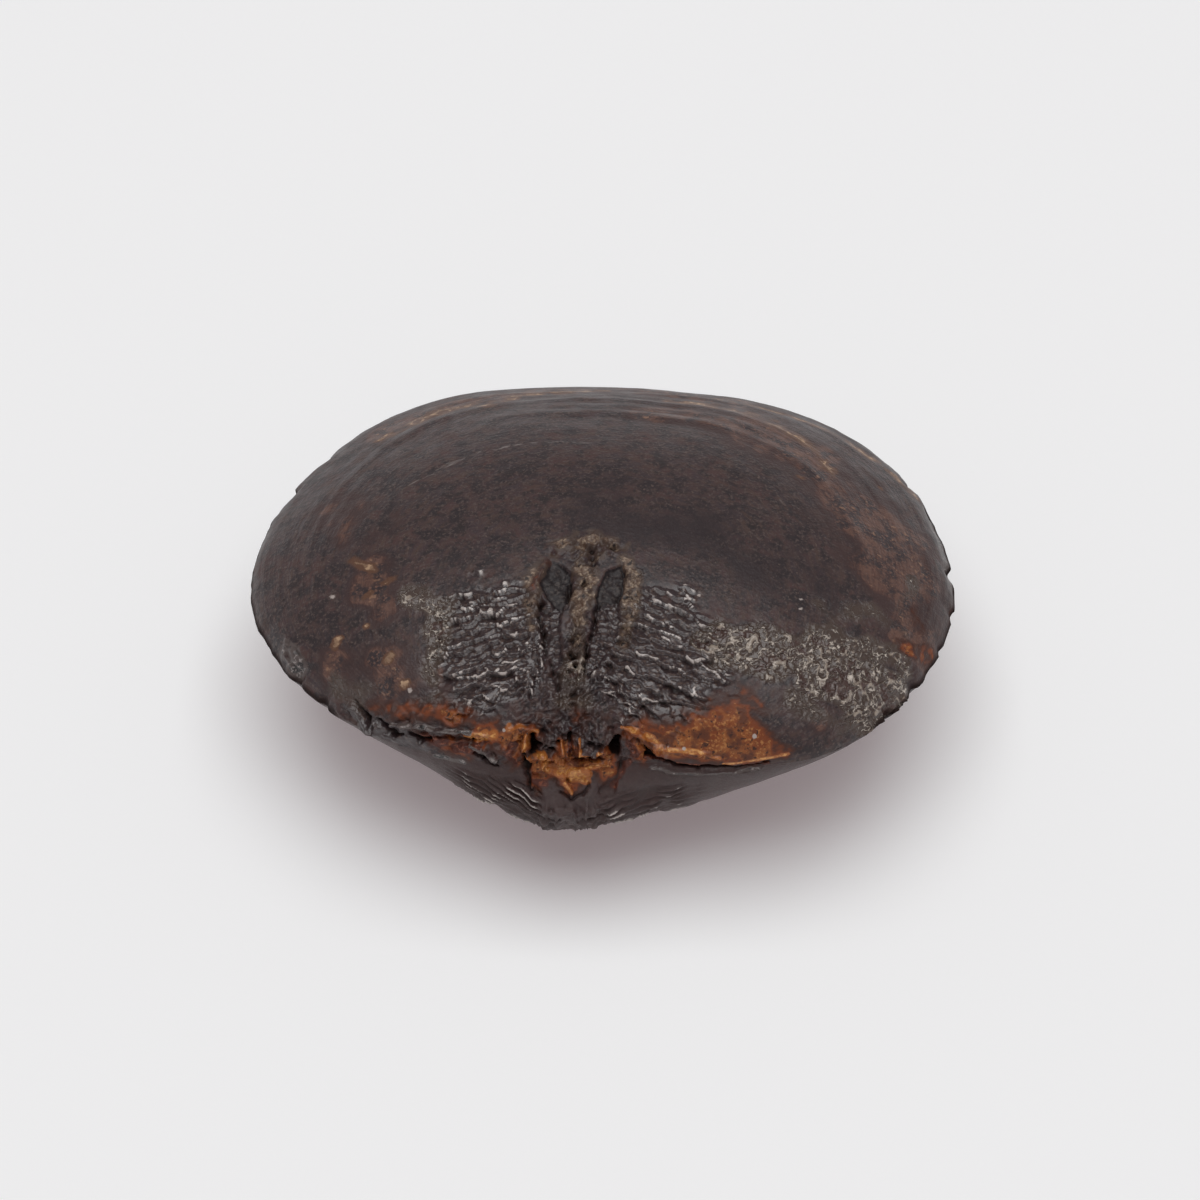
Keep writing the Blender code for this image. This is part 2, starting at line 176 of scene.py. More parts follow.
BACK_FACE_REACH = (3.0, 2.2)  # how far forward it fades out
SHELL_SPLINTER = ((-9.2, 1.05, 0.14), (-8.0, 1.3, 0.24), (-6.9, 1.4, 0.2), (-5.2, 1.5, 0.16))
BACK_RIDGES = (
    (0.3, ((-3.1, 1.45, 0.2), (-2.65, 1.85, 0.25), (-2.1, 1.9, 0.25), (-1.62, 1.45, 0.2),
           (-1.5, 0.9, 0.15))),
    (0.4, ((-2.36, 1.6, 0.2), (-2.4, 1.15, 0.28), (-2.45, 0.75, 0.15))),
    (0.16, ((-3.5, 1.05, 0.2), (-3.1, 0.6, 0.25), (-2.75, 0.2, 0.2))),
    (0.25, ((2.05, 1.75, 0.2), (2.6, 1.85, 0.22), (3.3, 1.6, 0.2), (3.9, 1.0, 0.2), (4.4, 0.5, 0.15))),
    (0.16, ((2.9, 1.4, 0.2), (3.3, 0.9, 0.22), (3.45, 0.3, 0.2))),
    (0.22, ((0.3, 1.35, 0.12), (0.42, 0.62, 0.18), (1.0, 0.48, 0.18), (1.45, 0.62, 0.14),
            (1.75, 1.2, 0.12))),
    (0.24, ((-0.57, 1.3, 0.13), (-0.55, 0.55, 0.18))),
    (0.3, ((-2.2, 0.45, 0.2), (-1.6, 0.62, 0.25), (-1.0, 0.35, 0.2))),
    (0.3, ((-1.35, 0.1, 0.25), (-1.1, -0.2, 0.25), (-0.3, -0.5, 0.3), (0.5, -0.25, 0.3),
           (1.1, -0.02, 0.3), (1.7, 0.1, 0.2))),
    (0.2, ((-1.15, 0.1, 0.2), (-1.05, 0.1, 0.2))),
    (0.24, ((-0.75, -0.6, 0.14), (-0.3, -0.75, 0.16), (0.0, -1.0, 0.15))),
    (0.14, ((4.2, 0.85, 0.25), (5.6, 0.75, 0.3), (7.4, 0.45, 0.2))),
    (0.14, ((4.0, -0.25, 0.12), (5.5, -0.45, 0.16), (6.5, -0.5, 0.16), (7.9, -0.42, 0.12),
            (9.5, -0.18, 0.1))),
    (0.14, ((-1.3, -1.1, 0.4), (-1.0, -1.6, 0.8), (-0.8, -2.1, 0.9))),
    (0.14, ((1.1, -0.9, 0.4), (1.15, -1.5, 0.8), (1.0, -2.1, 0.9))),
    (0.25, ((-5.2, 0.85, 0.12), (-4.5, 0.55, 0.25), (-3.85, 0.2, 0.15))),
    (0.26, SHELL_SPLINTER),
)
BACK_HOLLOWS = (
    (0.8, ((-2.0, 1.5, 0.2), (-1.85, 1.1, 0.36), (-2.0, 0.62, 0.3))),
    (0.9, ((2.2, 1.4, 0.28), (2.12, 0.95, 0.42), (2.2, 0.5, 0.32))),
    (0.25, ((-2.8, 1.38, 0.18), (-2.72, 1.3, 0.18))),
    (0.3, ((-2.55, 0.8, 0.1), (-2.4, -0.3, 0.16), (-2.05, -0.9, 0.2), (-1.6, -1.1, 0.1))),
    (0.22, ((2.5, 0.3, 0.2), (2.33, -0.5, 0.3), (1.9, -1.0, 0.4), (1.5, -1.1, 0.2))),
    (0.22, ((-0.6, -1.0, 0.08), (0.05, -1.3, 0.12), (0.5, -1.0, 0.13), (0.9, -0.6, 0.1))),
    (0.3, ((-0.16, 1.6, 0.14), (-0.14, 0.5, 0.17))),
    (0.3, ((-0.68, 1.08, 0.14), (-0.64, 1.02, 0.14))),
    (0.2, ((-1.4, 1.05, 0.1), (-0.95, 0.75, 0.13))),
    (0.3, ((0.75, 1.25, 0.2), (1.2, 0.9, 0.28))),
    (0.2, ((-0.2, 0.1, 0.2), (0.6, 0.15, 0.22), (1.4, 0.3, 0.15))),
    (0.3, ((-0.3, -0.55, 0.12), (-0.2, -0.62, 0.12))),
    (0.2, ((-2.05, -0.42, 0.12), (-1.75, -0.45, 0.12))),
    (0.34, ((3.6, 0.5, 0.12), (4.2, 0.22, 0.14), (5.6, -0.08, 0.15), (6.9, -0.14, 0.15),
            (8.4, -0.02, 0.15), (9.9, 0.1, 0.1))),
    (0.3, ((3.55, 1.1, 0.12), (3.95, 0.55, 0.14), (4.2, 0.2, 0.12))),
    (0.2, ((-1.9, -2.3, 0.12), (-1.2, -2.5, 0.16), (-0.7, -2.4, 0.12))),
    (0.2, ((0.7, -2.5, 0.12), (1.3, -2.4, 0.15), (1.9, -2.2, 0.12))),
    (0.4, ((-11.3, 1.2, 0.15), (-10.7, 0.8, 0.3), (-10.3, 0.4, 0.2))),
    (0.4, ((-9.9, 0.95, 0.15), (-9.4, 0.7, 0.26), (-8.8, 0.75, 0.15))),
    (0.35, ((-8.4, 0.9, 0.15), (-7.8, 0.6, 0.26), (-7.2, 0.8, 0.15))),
    (0.2, ((-6.9, 1.1, 0.1), (-5.6, 1.15, 0.16), (-4.8, 1.2, 0.1))),
    (0.3, ((-5.0, 0.45, 0.1), (-4.4, 0.15, 0.14), (-3.8, -0.05, 0.1))),
)
HINGE_ROUGH = ((-11.6, 0.9, 0.8), (-9.5, 0.8, 1.1), (-7.0, 1.2, 1.2), (-5.0, 0.9, 0.9),
               (-3.0, 0.6, 0.8), (0.0, 0.2, 1.6), (2.6, 0.6, 0.9), (4.0, 0.6, 0.5))
BROKEN_EDGE = ((-12.2, 2.4, 0.6), (-10.0, 1.5, 0.7), (-7.6, 1.1, 0.7), (-5.4, 0.9, 0.6))
BROKEN_EDGE_HEIGHT = 0.16

# Braided ridges that run down both flanks of the ventral beak: spacing and slope, left and right.
FLANK_SPACING = (0.32, 0.36)
FLANK_SLOPE = (0.44, 0.17)
FLANK_RIDGE_HEIGHT = 0.27
# Where they begin and where they are full: beside the beak, at the far ends, on top and below.
FLANK_INNER = (1.3, 2.0)
FLANK_OUTER = (7.2, 4.7)
FLANK_TOP = (-0.5, -0.9)
FLANK_BOTTOM = (-5.0, -3.8)
BEAK_CRUMPLE_HEIGHT = 0.2

UNDERSIDE_LOBES = (((-0.6, 1.0, 1.4), (-1.9, 5.5, 2.2), (-2.6, 9.5, 1.8)),
                   ((0.9, 1.0, 1.4), (2.3, 5.5, 2.2), (3.0, 9.5, 1.8)))
UNDERSIDE_HEIGHT = 0.3

# ---------------------------------------------------------------- stains, mm

RUST_OUTLINES = (             # on the back face, as (x, z)
    ((-2.45, 0.75), (-2.3, -0.4), (-1.9, -1.0), (-1.45, -1.08), (-1.08, -0.67), (-0.6, -0.95),
     (0.0, -1.25), (0.4, -1.0), (0.95, -0.54), (1.3, -0.85), (1.75, -1.02), (2.2, -0.6), (2.35, 0.3),
     (1.95, 0.7), (1.75, 1.3), (1.2, 0.65), (0.75, 0.7), (0.5, 1.75), (0.2, 1.3), (-0.4, 1.5),
     (-0.75, 1.35), (-1.0, 0.9), (-1.5, 0.8), (-2.1, 0.5)),
    ((-5.9, 1.3), (-5.2, 1.7), (-4.7, 1.95), (-3.9, 2.1), (-3.1, 2.05), (-2.4, 2.15), (-1.8, 2.0),
     (-1.4, 1.5), (-1.5, 0.9), (-2.3, 0.5), (-2.8, -0.1), (-3.2, 0.1), (-3.6, 0.5), (-4.3, 0.85),
     (-5.2, 0.8)),
    ((-11.3, 1.0), (-10.2, 1.6), (-8.8, 2.05), (-7.3, 2.55), (-5.9, 2.5), (-4.8, 2.3), (-5.0, 1.75),
     (-6.0, 1.75), (-7.3, 1.75), (-8.8, 1.4), (-10.2, 1.05)),
    ((-7.9, 1.1), (-6.9, 1.15), (-5.6, 1.2), (-4.9, 0.9), (-5.0, 0.3), (-5.7, 0.0), (-6.6, 0.3),
     (-7.6, 0.6)),
    ((2.0, 1.75), (2.5, 2.1), (3.34, 2.1), (4.09, 2.1), (5.03, 2.3), (5.78, 2.45), (7.24, 2.7),
     (8.03, 2.95), (8.89, 2.8), (9.17, 2.3), (9.68, 1.9), (10.2, 1.45), (10.2, 0.95), (11.2, 0.62),
     (10.1, 0.22), (8.4, 0.05), (6.8, -0.06), (5.08, 0.0), (4.0, 0.25), (3.6, 0.0), (2.9, 0.3),
     (2.7, 1.2)),
)
OCHRE_ROUTES = (              # where it is a paler yellow tan
    ((-2.36, 1.6, 0.18), (-2.4, 1.15, 0.26), (-2.45, 0.8, 0.15)),
    ((0.32, 1.35, 0.12), (0.42, 0.62, 0.2), (1.0, 0.48, 0.2), (1.45, 0.62, 0.14)),
    ((-0.57, 1.3, 0.12), (-0.55, 0.55, 0.17)),
    ((0.7, -0.15, 0.15), (1.1, -0.05, 0.26), (1.6, 0.05, 0.2)),
    ((-2.3, 0.45, 0.25), (-1.6, 0.55, 0.45), (-1.1, 0.0, 0.6), (-0.2, -0.3, 0.5), (0.8, -0.45, 0.45)),
    ((-0.4, -0.7, 0.15), (0.0, -1.05, 0.14)),
    ((-5.4, 1.3, 0.3), (-4.6, 1.35, 0.45), (-3.6, 1.75, 0.5), (-2.8, 2.0, 0.25), (-1.8, 1.8, 0.2)),
    ((2.4, 1.9, 0.15), (3.3, 1.7, 0.25), (4.0, 1.3, 0.35), (4.6, 0.7, 0.3)),
    ((4.8, 0.9, 0.2), (6.3, 0.8, 0.25), (7.4, 0.5, 0.2)),
    ((7.6, 0.15, 0.1), (8.6, 0.25, 0.14), (10.9, 0.55, 0.14)),
)
RED_ROUTES = (                # redder and darker
    ((3.7, 0.35, 0.25), (5.6, 0.0, 0.2), (8.4, 0.0, 0.18), (9.9, 0.1, 0.12)),
    ((-7.6, 0.85, 0.4), (-6.6, 0.75, 0.55), (-5.2, 0.6, 0.5), (-4.4, 1.2, 0.2)),
    ((-3.0, 1.1, 0.35), (-3.3, 0.6, 0.35), (-2.9, 0.0, 0.25)),
    ((2.7, 1.2, 0.35), (3.2, 0.6, 0.35), (2.6, -0.2, 0.3), (2.1, -0.9, 0.3)),
    ((-0.14, 1.9, 0.16), (-0.14, 0.6, 0.18)),
    ((-2.2, -0.5, 0.2), (-1.7, -0.7, 0.3), (-1.3, -0.7, 0.2)),
)
GREY_ROUTES = (               # bare grey shell
    ((-5.2, 0.85, 0.14), (-4.5, 0.55, 0.26), (-3.85, 0.2, 0.15)),
    ((4.0, -0.25, 0.12), (5.5, -0.45, 0.17), (6.5, -0.5, 0.17), (7.9, -0.42, 0.13), (9.5, -0.18, 0.1)),
    SHELL_SPLINTER,
    ((-7.0, -0.1, 0.25), (-5.6, -0.2, 0.25)),
)
RUST_ROUTES = (               # on the valve itself, as (x, y)
    (0.4, ((-1.7, 8.5, 0.3), (-2.2, 7.6, 0.4), (-2.4, 6.8, 0.3))),
    (0.22, ((-1.6, 0.7, 0.5), (0.0, 0.8, 0.7), (1.6, 0.7, 0.5))),
    (0.65, ((16.6, 7.4, 0.5), (17.9, 7.6, 0.7), (18.2, 8.6, 0.4))),
    (0.5, ((17.2, 10.0, 0.4), (17.6, 9.0, 0.5))),
    (0.35, ((4.4, 0.7, 0.4), (6.8, 1.5, 0.5), (8.4, 2.2, 0.6), (9.6, 1.6, 0.5))),
)
TAN_ROUTES = (                # yellowish tan flecks
    (0.8, ((-12.0, 10.5, 0.5), (-11.0, 9.6, 0.7), (-10.6, 8.6, 0.45))),
    (0.8, ((-11.3, 7.7, 0.35), (-10.3, 8.3, 0.45), (-9.5, 8.9, 0.35))),
    (0.75, ((-11.5, 22.0, 0.8), (-8.4, 24.4, 1.4), (-5.6, 24.6, 1.6), (-3.6, 26.0, 0.8),
            (0.5, 27.2, 0.7))),
    (0.75, ((4.0, 25.2, 0.7), (7.4, 24.6, 1.2), (9.4, 23.6, 1.3), (11.4, 21.8, 1.0), (13.0, 19.0, 0.8))),
    (0.7, ((6.6, 26.8, 0.6), (11.0, 25.6, 0.8), (13.6, 24.2, 0.8), (16.2, 22.0, 0.8), (17.6, 20.4, 0.6))),
)
TAN_SPOTS = ((-12.4, 5.6, 0.6), (-9.6, 4.0, 0.65), (12.6, 5.6, 0.5), (11.3, 22.0, 0.5),
             (13.9, 22.2, 0.4), (8.4, 22.4, 0.5), (10.1, 17.6, 0.35), (11.2, 17.4, 0.35),
             (-8.7, 2.6, 0.5), (15.6, 19.2, 0.4), (12.4, 19.8, 0.35), (16.4, 15.4, 0.35),
             (-10.9, 6.0, 0.35))
EARTH_ROUTES = (              # dull, earthy stone round the slots
    (1.0, ((0.2, 9.9, 1.7), (0.25, 8.0, 1.3), (0.2, 6.2, 1.1), (0.1, 5.0, 0.7))),
    (0.8, ((-1.4, 9.6, 0.9), (0.2, 10.1, 0.7), (2.0, 9.8, 0.9))),
    (1.0, ((2.3, 8.8, 0.8), (2.6, 7.4, 1.1), (2.6, 5.6, 0.8), (2.4, 4.0, 0.4))),
    (1.0, ((-1.6, 8.8, 0.8), (-2.3, 7.6, 1.1), (-2.4, 6.2, 0.8), (-2.3, 4.6, 0.4))),
    (0.7, ((0.1, 5.4, 0.7), (0.0, 3.4, 0.6))),
)
BROWN_ROUTES = (              # warmer brown than the rest
    (0.9, ((3.0, 22.5, 2.2), (9.5, 21.5, 4.0), (14.5, 17.5, 4.6), (16.5, 11.5, 4.0), (17.2, 7.4, 2.6))),
    (0.6, ((-13.0, 15.0, 2.6), (-11.5, 12.0, 2.2))),
    (0.8, ((-11.2, 9.8, 1.6), (-10.4, 6.6, 1.8))),
    (0.9, ((-12.5, 4.4, 1.8), (-9.5, 3.4, 2.0), (-6.0, 2.2, 1.3), (-4.4, 1.2, 0.8))),
    (0.9, ((-12.0, 23.0, 1.8), (-9.0, 24.8, 1.8), (0.0, 27.5, 2.0), (8.0, 26.5, 2.0))),
    (0.7, ((9.8, 2.4, 1.0), (12.0, 1.9, 1.4), (10.0, 5.2, 1.4))),
)
DARK_ROUTES = (               # where the smooth stone is nearest to black
    (0.45, ((1.0, 12.5, 5.0), (6.5, 11.0, 6.5), (11.0, 9.0, 5.0))),
    (0.3, ((-7.0, 9.5, 4.0), (-4.0, 11.0, 4.5))),
)
PAINTED_GLINT_ROUTES = (              # painted highlights: crests streaked with pale lines of glint
    ((-9.5, 15.5, 0.6), (-7.4, 17.0, 0.9), (-5.8, 17.8, 0.9), (-4.4, 18.1, 1.0), (-1.5, 18.4, 0.8),
     (1.2, 18.1, 0.7)),
    ((-7.4, 14.2, 0.3), (-6.4, 14.2, 0.35)),
    ((8.6, 15.6, 0.6), (11.2, 14.4, 0.7)),
)
# Black, glossy broken shell left of the hinge, as (x, z).
BLACK_ROUTE = ((-11.8, 0.9, 0.5), (-10.4, 0.6, 0.7), (-8.6, 0.6, 0.6), (-7.6, 0.3, 0.4))
PALE_SPOTS = ((5.4, 7.35, 0.14), (6.1, 6.9, 0.16), (11.3, 7.9, 0.16), (11.35, 7.3, 0.2),
              (-8.4, 2.2, 0.2), (-12.9, 8.4, 0.12))
PALE_BACK_SPOTS = ((9.15, 1.55, 0.2), (5.6, 0.95, 0.16), (-3.5, 1.75, 0.14))   # (x, z, half width)

# ---------------------------------------------------------------- the mesh

COARSE_HALVINGS = 5          # of a six-sided double pyramid's sides, over the whole stone
RIM_RADIUS = 0.9999          # a disc radius above this is on the margin itself
NOISE_CELLS = 32             # after this many lumps the noise repeats
FAR = 99.0
# Boxes in the shell's frame, as lowest and highest corner, in which the sides are halved again.
FINER_BOXES = (
    (((-FAR, -FAR, -0.1), (FAR, FAR, FAR)), ((-FAR, -FAR, -FAR), (FAR, 4.0, FAR))),
    (((-13.0, -FAR, -0.3), (18.6, 8.2, FAR)), ((-3.8, 8.0, 0.0), (4.0, 10.8, FAR)),
     ((-8.5, -FAR, -4.6), (9.5, 2.2, FAR)), ((-16.5, 3.5, -0.2), (-12.5, 8.5, 1.6))),
    (((-7.2, -FAR, -0.2), (7.8, 7.2, FAR)), ((-3.0, 7.0, 0.0), (3.2, 10.5, FAR)),
     ((6.2, 1.6, 1.0), (17.2, 6.0, FAR)), ((-6.6, -FAR, -3.4), (6.6, 1.8, FAR)),
     ((-11.6, -FAR, 0.1), (10.2, 1.8, 2.4))),
)


def smooth_step(low, high, value):
    """0 at low, 1 at high, smooth between."""
    part = np.clip((value - low) / (high - low), 0.0, 1.0)
    return part * part * (3.0 - 2.0 * part)


def mound(distance):
    """1 at distance 0, falling smoothly to 0 at distance 1."""
    return np.clip(1.0 - distance * distance, 0.0, 1.0) ** 2


def to_straight_piece(u, v, start, end):
    """Where on a straight piece its nearest point lies, 0 to 1, and how far away that is."""
    (u0, v0), (u1, v1) = start, end
    along_u, along_v = u1 - u0, v1 - v0
    part = ((u - u0) * along_u + (v - v0) * along_v) / (along_u**2 + along_v**2)
    part = np.clip(part, 0.0, 1.0)
    return part, np.hypot(u - u0 - part * along_u, v - v0 - part * along_v)


def stroke(u, v, route):
    """Closeness, 0 to 1, to a bent line of changing half width."""
    closest = np.zeros_like(u)
    for (*start, width0), (*end, width1) in zip(route, route[1:]):
        part, away = to_straight_piece(u, v, start, end)
        closest = np.maximum(closest, mound(away / (width0 + part * (width1 - width0))))
    return closest


def strokes(u, v, routes):
    """Closeness to the nearest of several bent lines."""
    return np.max([stroke(u, v, route) for route in routes], axis=0)


def weighted_strokes(u, v, weighted_routes):
    """Closeness to the nearest of several bent lines, each times its own weight."""
    return np.max([weight * stroke(u, v, route) for weight, route in weighted_routes], axis=0)


def spots_at(u, v, spots):
    """Closeness, 0 to 1, to the nearest of some round spots."""
    return np.max([mound(np.hypot(u - su, v - sv) / size) for su, sv, size in spots], axis=0)


def way_inside(u, v, outline):
    """Distance in from a closed outline, negative outside it."""
    nearest = np.full(u.shape, FAR)
    inside = np.zeros(u.shape, bool)
    for (u0, v0), (u1, v1) in zip(outline, outline[1:] + outline[:1]):
        nearest = np.minimum(nearest, to_straight_piece(u, v, (u0, v0), (u1, v1))[1])
        crossing_u = u0 + (v - v0) * (u1 - u0) / (v1 - v0 or 1e-9)
        inside = inside ^ (((v0 > v) != (v1 > v)) & (u < crossing_u))
    return np.where(inside, nearest, -nearest)


def lumps(points, size, seed):
    """Smooth lumps about this size, from -1 to 1, at points in space."""
    lattice = np.random.default_rng(seed).uniform(-1.0, 1.0, (NOISE_CELLS,) * 3)
    cell = points / size
    low = np.floor(cell).astype(int)
    part = cell - low
    part = part * part * (3.0 - 2.0 * part)
    total = np.zeros(len(points))
    for corner in itertools.product((0, 1), repeat=3):
        index = (low + corner) % NOISE_CELLS
        weight = np.prod(np.where(corner, part, 1.0 - part), axis=1)
        total += weight * lattice[index[:, 0], index[:, 1], index[:, 2]]
    return total


def noise(points, *layers):
    """A sum of lumps. Each layer is its height, its size and its seed."""
    return sum(height * lumps(points, size, seed) for height, size, seed in layers)


def threads(points, size, seed, thickness):
    """Thin crooked ridges about this far apart, 0 to 1: where lumps of that size cross zero."""
    return mound(lumps(points, size, seed) / thickness)


def cells(u, v, seed):
    """Crowded cells one unit across: the gap to the cell's edge, the place inside it along v, and
    a number of the cell's own from 0 to 1."""
    random = np.random.default_rng(seed)
    middles = random.uniform(0.08, 0.92, (NOISE_CELLS, NOISE_CELLS, 2))
    numbers = random.uniform(0.0, 1.0, (NOISE_CELLS, NOISE_CELLS))
    column, row = np.floor(u).astype(int), np.floor(v).astype(int)
    nearest, second = np.full(u.shape, FAR), np.full(u.shape, FAR)
    inside, number = np.zeros(u.shape), np.zeros(u.shape)
    for step_u, step_v in itertools.product((-1, 0, 1), repeat=2):
        index = (column + step_u) % NOISE_CELLS, (row + step_v) % NOISE_CELLS
        off_u = u - column - step_u - middles[index][:, 0]
        off_v = v - row - step_v - middles[index][:, 1]
        away = np.hypot(off_u, off_v)
        closer = away < nearest
        second = np.where(closer, nearest, np.minimum(second, away))
        inside = np.where(closer, off_v, inside)
        number = np.where(closer, numbers[index], number)
        nearest = np.where(closer, away, nearest)
    return second - nearest, inside, number


# ---------------------------------------------------------------- the smooth mould


def margin_radius(angle):
    """Radius of the margin at each angle: a smooth closed curve through MARGIN_RADII."""
    radii = np.array(MARGIN_RADII)
    count = len(radii)
    place = (angle + math.pi) / (2.0 * math.pi) * count
    low = np.floor(place).astype(int)
    part = place - low
    before, start, end, after = (radii[(low + step) % count] for step in (-1, 0, 1, 2))
    bend = 2.0 * before - 5.0 * start + 4.0 * end - after
    twist = 3.0 * (start - end) + after - before
    return start + 0.5 * part * (end - before + part * (bend + part * twist))


def margin_chips(angle):
    """How deep chips and fine notches cut into the margin at each angle."""
    around = np.stack([np.cos(angle), np.sin(angle), 0.0 * angle], axis=1)
    depth = MARGIN_RAGGEDNESS * (1.0 + noise(around, (0.6, 0.06, 4), (0.4, 0.025, 5)))
    for chip_angle, clockwise, other_way, chip_depth in MARGIN_CHIPS:
        away = np.degrees(np.angle(np.exp(1j * (angle - math.radians(chip_angle)))))
        depth += chip_depth * mound(away / np.where(away < 0.0, clockwise, other_way))
    return depth


def valve_points(radius, angle, dorsal):
    """The smooth mould: disc points, as radius 0 to 1 and angle, to the shell's frame."""
    reach = radius * margin_radius(angle) - smooth_step(CHIPS_FROM, 1.0, radius) * margin_chips(angle)
    x = MARGIN_CENTRE[0] + reach * np.cos(angle)
    y = MARGIN_CENTRE[1] + reach * np.sin(angle)
    edge = EDGE_HEIGHT * np.sqrt(1.0 - radius**EDGE_FLATNESS)
    front = 0.5 + 0.5 * np.sin(angle)
    dorsal_power = DORSAL_POWER[0] + front * (DORSAL_POWER[1] - DORSAL_POWER[0])
    top = DORSAL_HEIGHT * (1.0 - radius**DORSAL_FLATNESS) ** dorsal_power
    behind = smooth_step(VENTRAL_HINGE_SHARE, 0.0, front)
    ventral_power = VENTRAL_POWER[1] + behind * (VENTRAL_POWER[0] - VENTRAL_POWER[1])
    depth = (1.0 - radius**VENTRAL_FLATNESS) ** ventral_power
    z = np.where(dorsal, top + edge, -VENTRAL_DEPTH * depth - edge)
    half_width = np.where(x < 0.0, UMBO_HALF_WIDTH[0], UMBO_HALF_WIDTH[1])
    swell = np.sin(math.pi * depth**0.8) ** 1.2 * np.exp(-np.abs(x / half_width) ** 1.7)
    y = y - np.where(dorsal, 0.0, UMBO_OVERHANG * swell * np.clip(1.0 - y / UMBO_LENGTH, 0.0, 1.0))
    return np.stack([x, y, z], axis=1)


def outward(radius, angle, dorsal):
    """Unit normals of the smooth mould. At the margin they lie in its plane."""
    step, turn = 0.003, 0.004
    inner = np.clip(radius - 0.004, 0.001, 1.0)   # clear of the rim, where the slope is upright
    along = valve_points(inner + step, angle, dorsal) - valve_points(inner, angle, dorsal)
    around = valve_points(inner, angle + turn, dorsal) - valve_points(inner, angle - turn, dorsal)
    normals = np.cross(along, around) * np.where(dorsal, 1.0, -1.0)[:, None]
    rim = (radius > RIM_RADIUS)[:, None]
    level = np.stack([np.cos(angle), np.sin(angle), np.zeros_like(angle)], axis=1)
    normals = np.where(rim, level, normals)
    return normals / np.linalg.norm(normals, axis=1, keepdims=True)


def growth(x, y):
    """The way from the hinge (0) to the margin (1), which growth lines follow."""
    angles = np.linspace(-math.pi, math.pi, 721)   # every half degree
    radii = margin_radius(angles)
    margin_x = MARGIN_CENTRE[0] + radii * np.cos(angles)
    margin_y = MARGIN_CENTRE[1] + radii * np.sin(angles)
    bearing = np.arctan2(margin_y, margin_x)
    order = np.argsort(bearing)
    reach = np.interp(np.arctan2(y, x), bearing[order], np.hypot(margin_x, margin_y)[order])
    return np.hypot(x, y) / reach


# ---------------------------------------------------------------- relief: each returns mm


def crooked(u, v, base):
    """The same place pushed about a little, which bends straight strokes."""
    shift_u = noise(base, (0.14, 0.7, 11), (0.1, 0.3, 12), (0.05, 0.17, 15))
    shift_v = noise(base, (0.14, 0.7, 13), (0.1, 0.3, 14), (0.05, 0.17, 16))
    return u + shift_u, v + shift_v


def channels_at(x, y, base):
    """How fully the scaly channels below the slots' facets cover each point."""
    inside = np.max([way_inside(x, y, outline) for outline in SLOT_CHANNELS], axis=0)
    return smooth_step(-0.03, 0.16, inside + 0.08 * lumps(base, 0.4, 20))


def muscle_relief(x, y, base):
    """Two slots, each a flat facet and a scaly channel, with a ragged ridge between them."""
    u, v = crooked(x, y, base)
    knobs = noise(base, (0.14, 0.6, 21), (0.2, 0.3, 22), (0.18, 0.17, 23))
    lips = np.max([stroke(u, v, route) for _, route in SIDE_LIPS], axis=0)
    ridge = stroke(u, v, MEDIAN_RIDGE)
    relief = RIDGE_HEIGHT * ridge + weighted_strokes(u, v, SIDE_LIPS)
    relief += knobs * np.clip(1.1 * stroke(u, v, RIDGE_END) + 0.8 * lips + 1.4 * ridge, 0.0, 1.0)
    relief += 1.1 * knobs * stroke(u, v, LUMPY_MIDDLE) ** 0.7
    _, inside, number = cells(x / CHANNEL_SCALE + 0.3 * lumps(base, 0.5, 24), y / CHANNEL_SCALE, 25)
    channels = channels_at(x, y, base)
    floor = CHANNEL_SCALE_HEIGHT * (number - inside - 0.5) - CHANNEL_DEPTH
    relief += channels * (floor - relief)
    for depth, slope, outline in SLOT_FACETS:
        middle = np.mean(outline, axis=0)
        chip = -depth - slope * (x - middle[0]) + 0.06 * (y - middle[1])
        chip += noise(base, (0.08, 0.5, 27), (0.08, 0.22, 28))
        relief += facet_cover(x, y, base, outline) * (chip - relief)
    return relief - weighted_strokes(u, v, CREVICES) - PIT_DEPTH * spots_at(u, v, RIDGE_PITS)


def facet_cover(x, y, base, outline):
    """How fully one of the slots' flat facets covers each point."""
    ragged = noise(base, (0.06, 0.35, 26), (0.04, 0.17, 29))
    return smooth_step(-0.02, 0.1, way_inside(x, y, outline) + ragged)


def scale_cover(x, y, base, field):
    """How fully one scaly field covers each point, with a ragged outline."""
    middle_x, middle_y, half_x, half_y = field[:4]
    away = np.hypot((x - middle_x) / half_x, (y - middle_y) / half_y)
    return smooth_step(1.2, 0.85, away + 0.3 * lumps(base, 0.9, 31))


def scale_plates(x, y, base):
    """Overlapping scales, uneven in height, whose free edges face the hinge: height and edge."""
    relief, edges = np.zeros_like(x), np.zeros_like(x)
    covered = channels_at(x, y, base)
    drift_x, drift_y = lumps(base, 0.7, 32), lumps(base, 0.45, 33)
    fine = 0.05 * lumps(base, 0.2, 34)
    for seed, field in enumerate(SCALE_FIELDS, start=35):
        middle_x, middle_y, _, _, lean, length, width = field
        along = (x - middle_x) / length + 0.35 * drift_x
        across = (y - middle_y - lean * (x - middle_x)) / width + 0.35 * drift_y
        gap, inside, number = cells(along, across, seed)
        edge = smooth_step(0.3, 0.08, gap) * smooth_step(0.0, -0.2, inside)
        edge = edge * smooth_step(0.2, 0.6, number)
        edge = edge * np.clip(0.7 + 1.8 * lumps(base, 0.4, seed + 300), 0.0, 1.0)
        plate = SCALE_HEIGHT * (0.5 * number - inside - 0.28) + SCALE_LIP * edge + fine
        cover = scale_cover(x, y, base, field) * (1.0 - covered)
        relief += cover * (plate - relief)
        edges += cover * (edge - edges)
        covered = np.maximum(covered, cover)
    return relief, edges


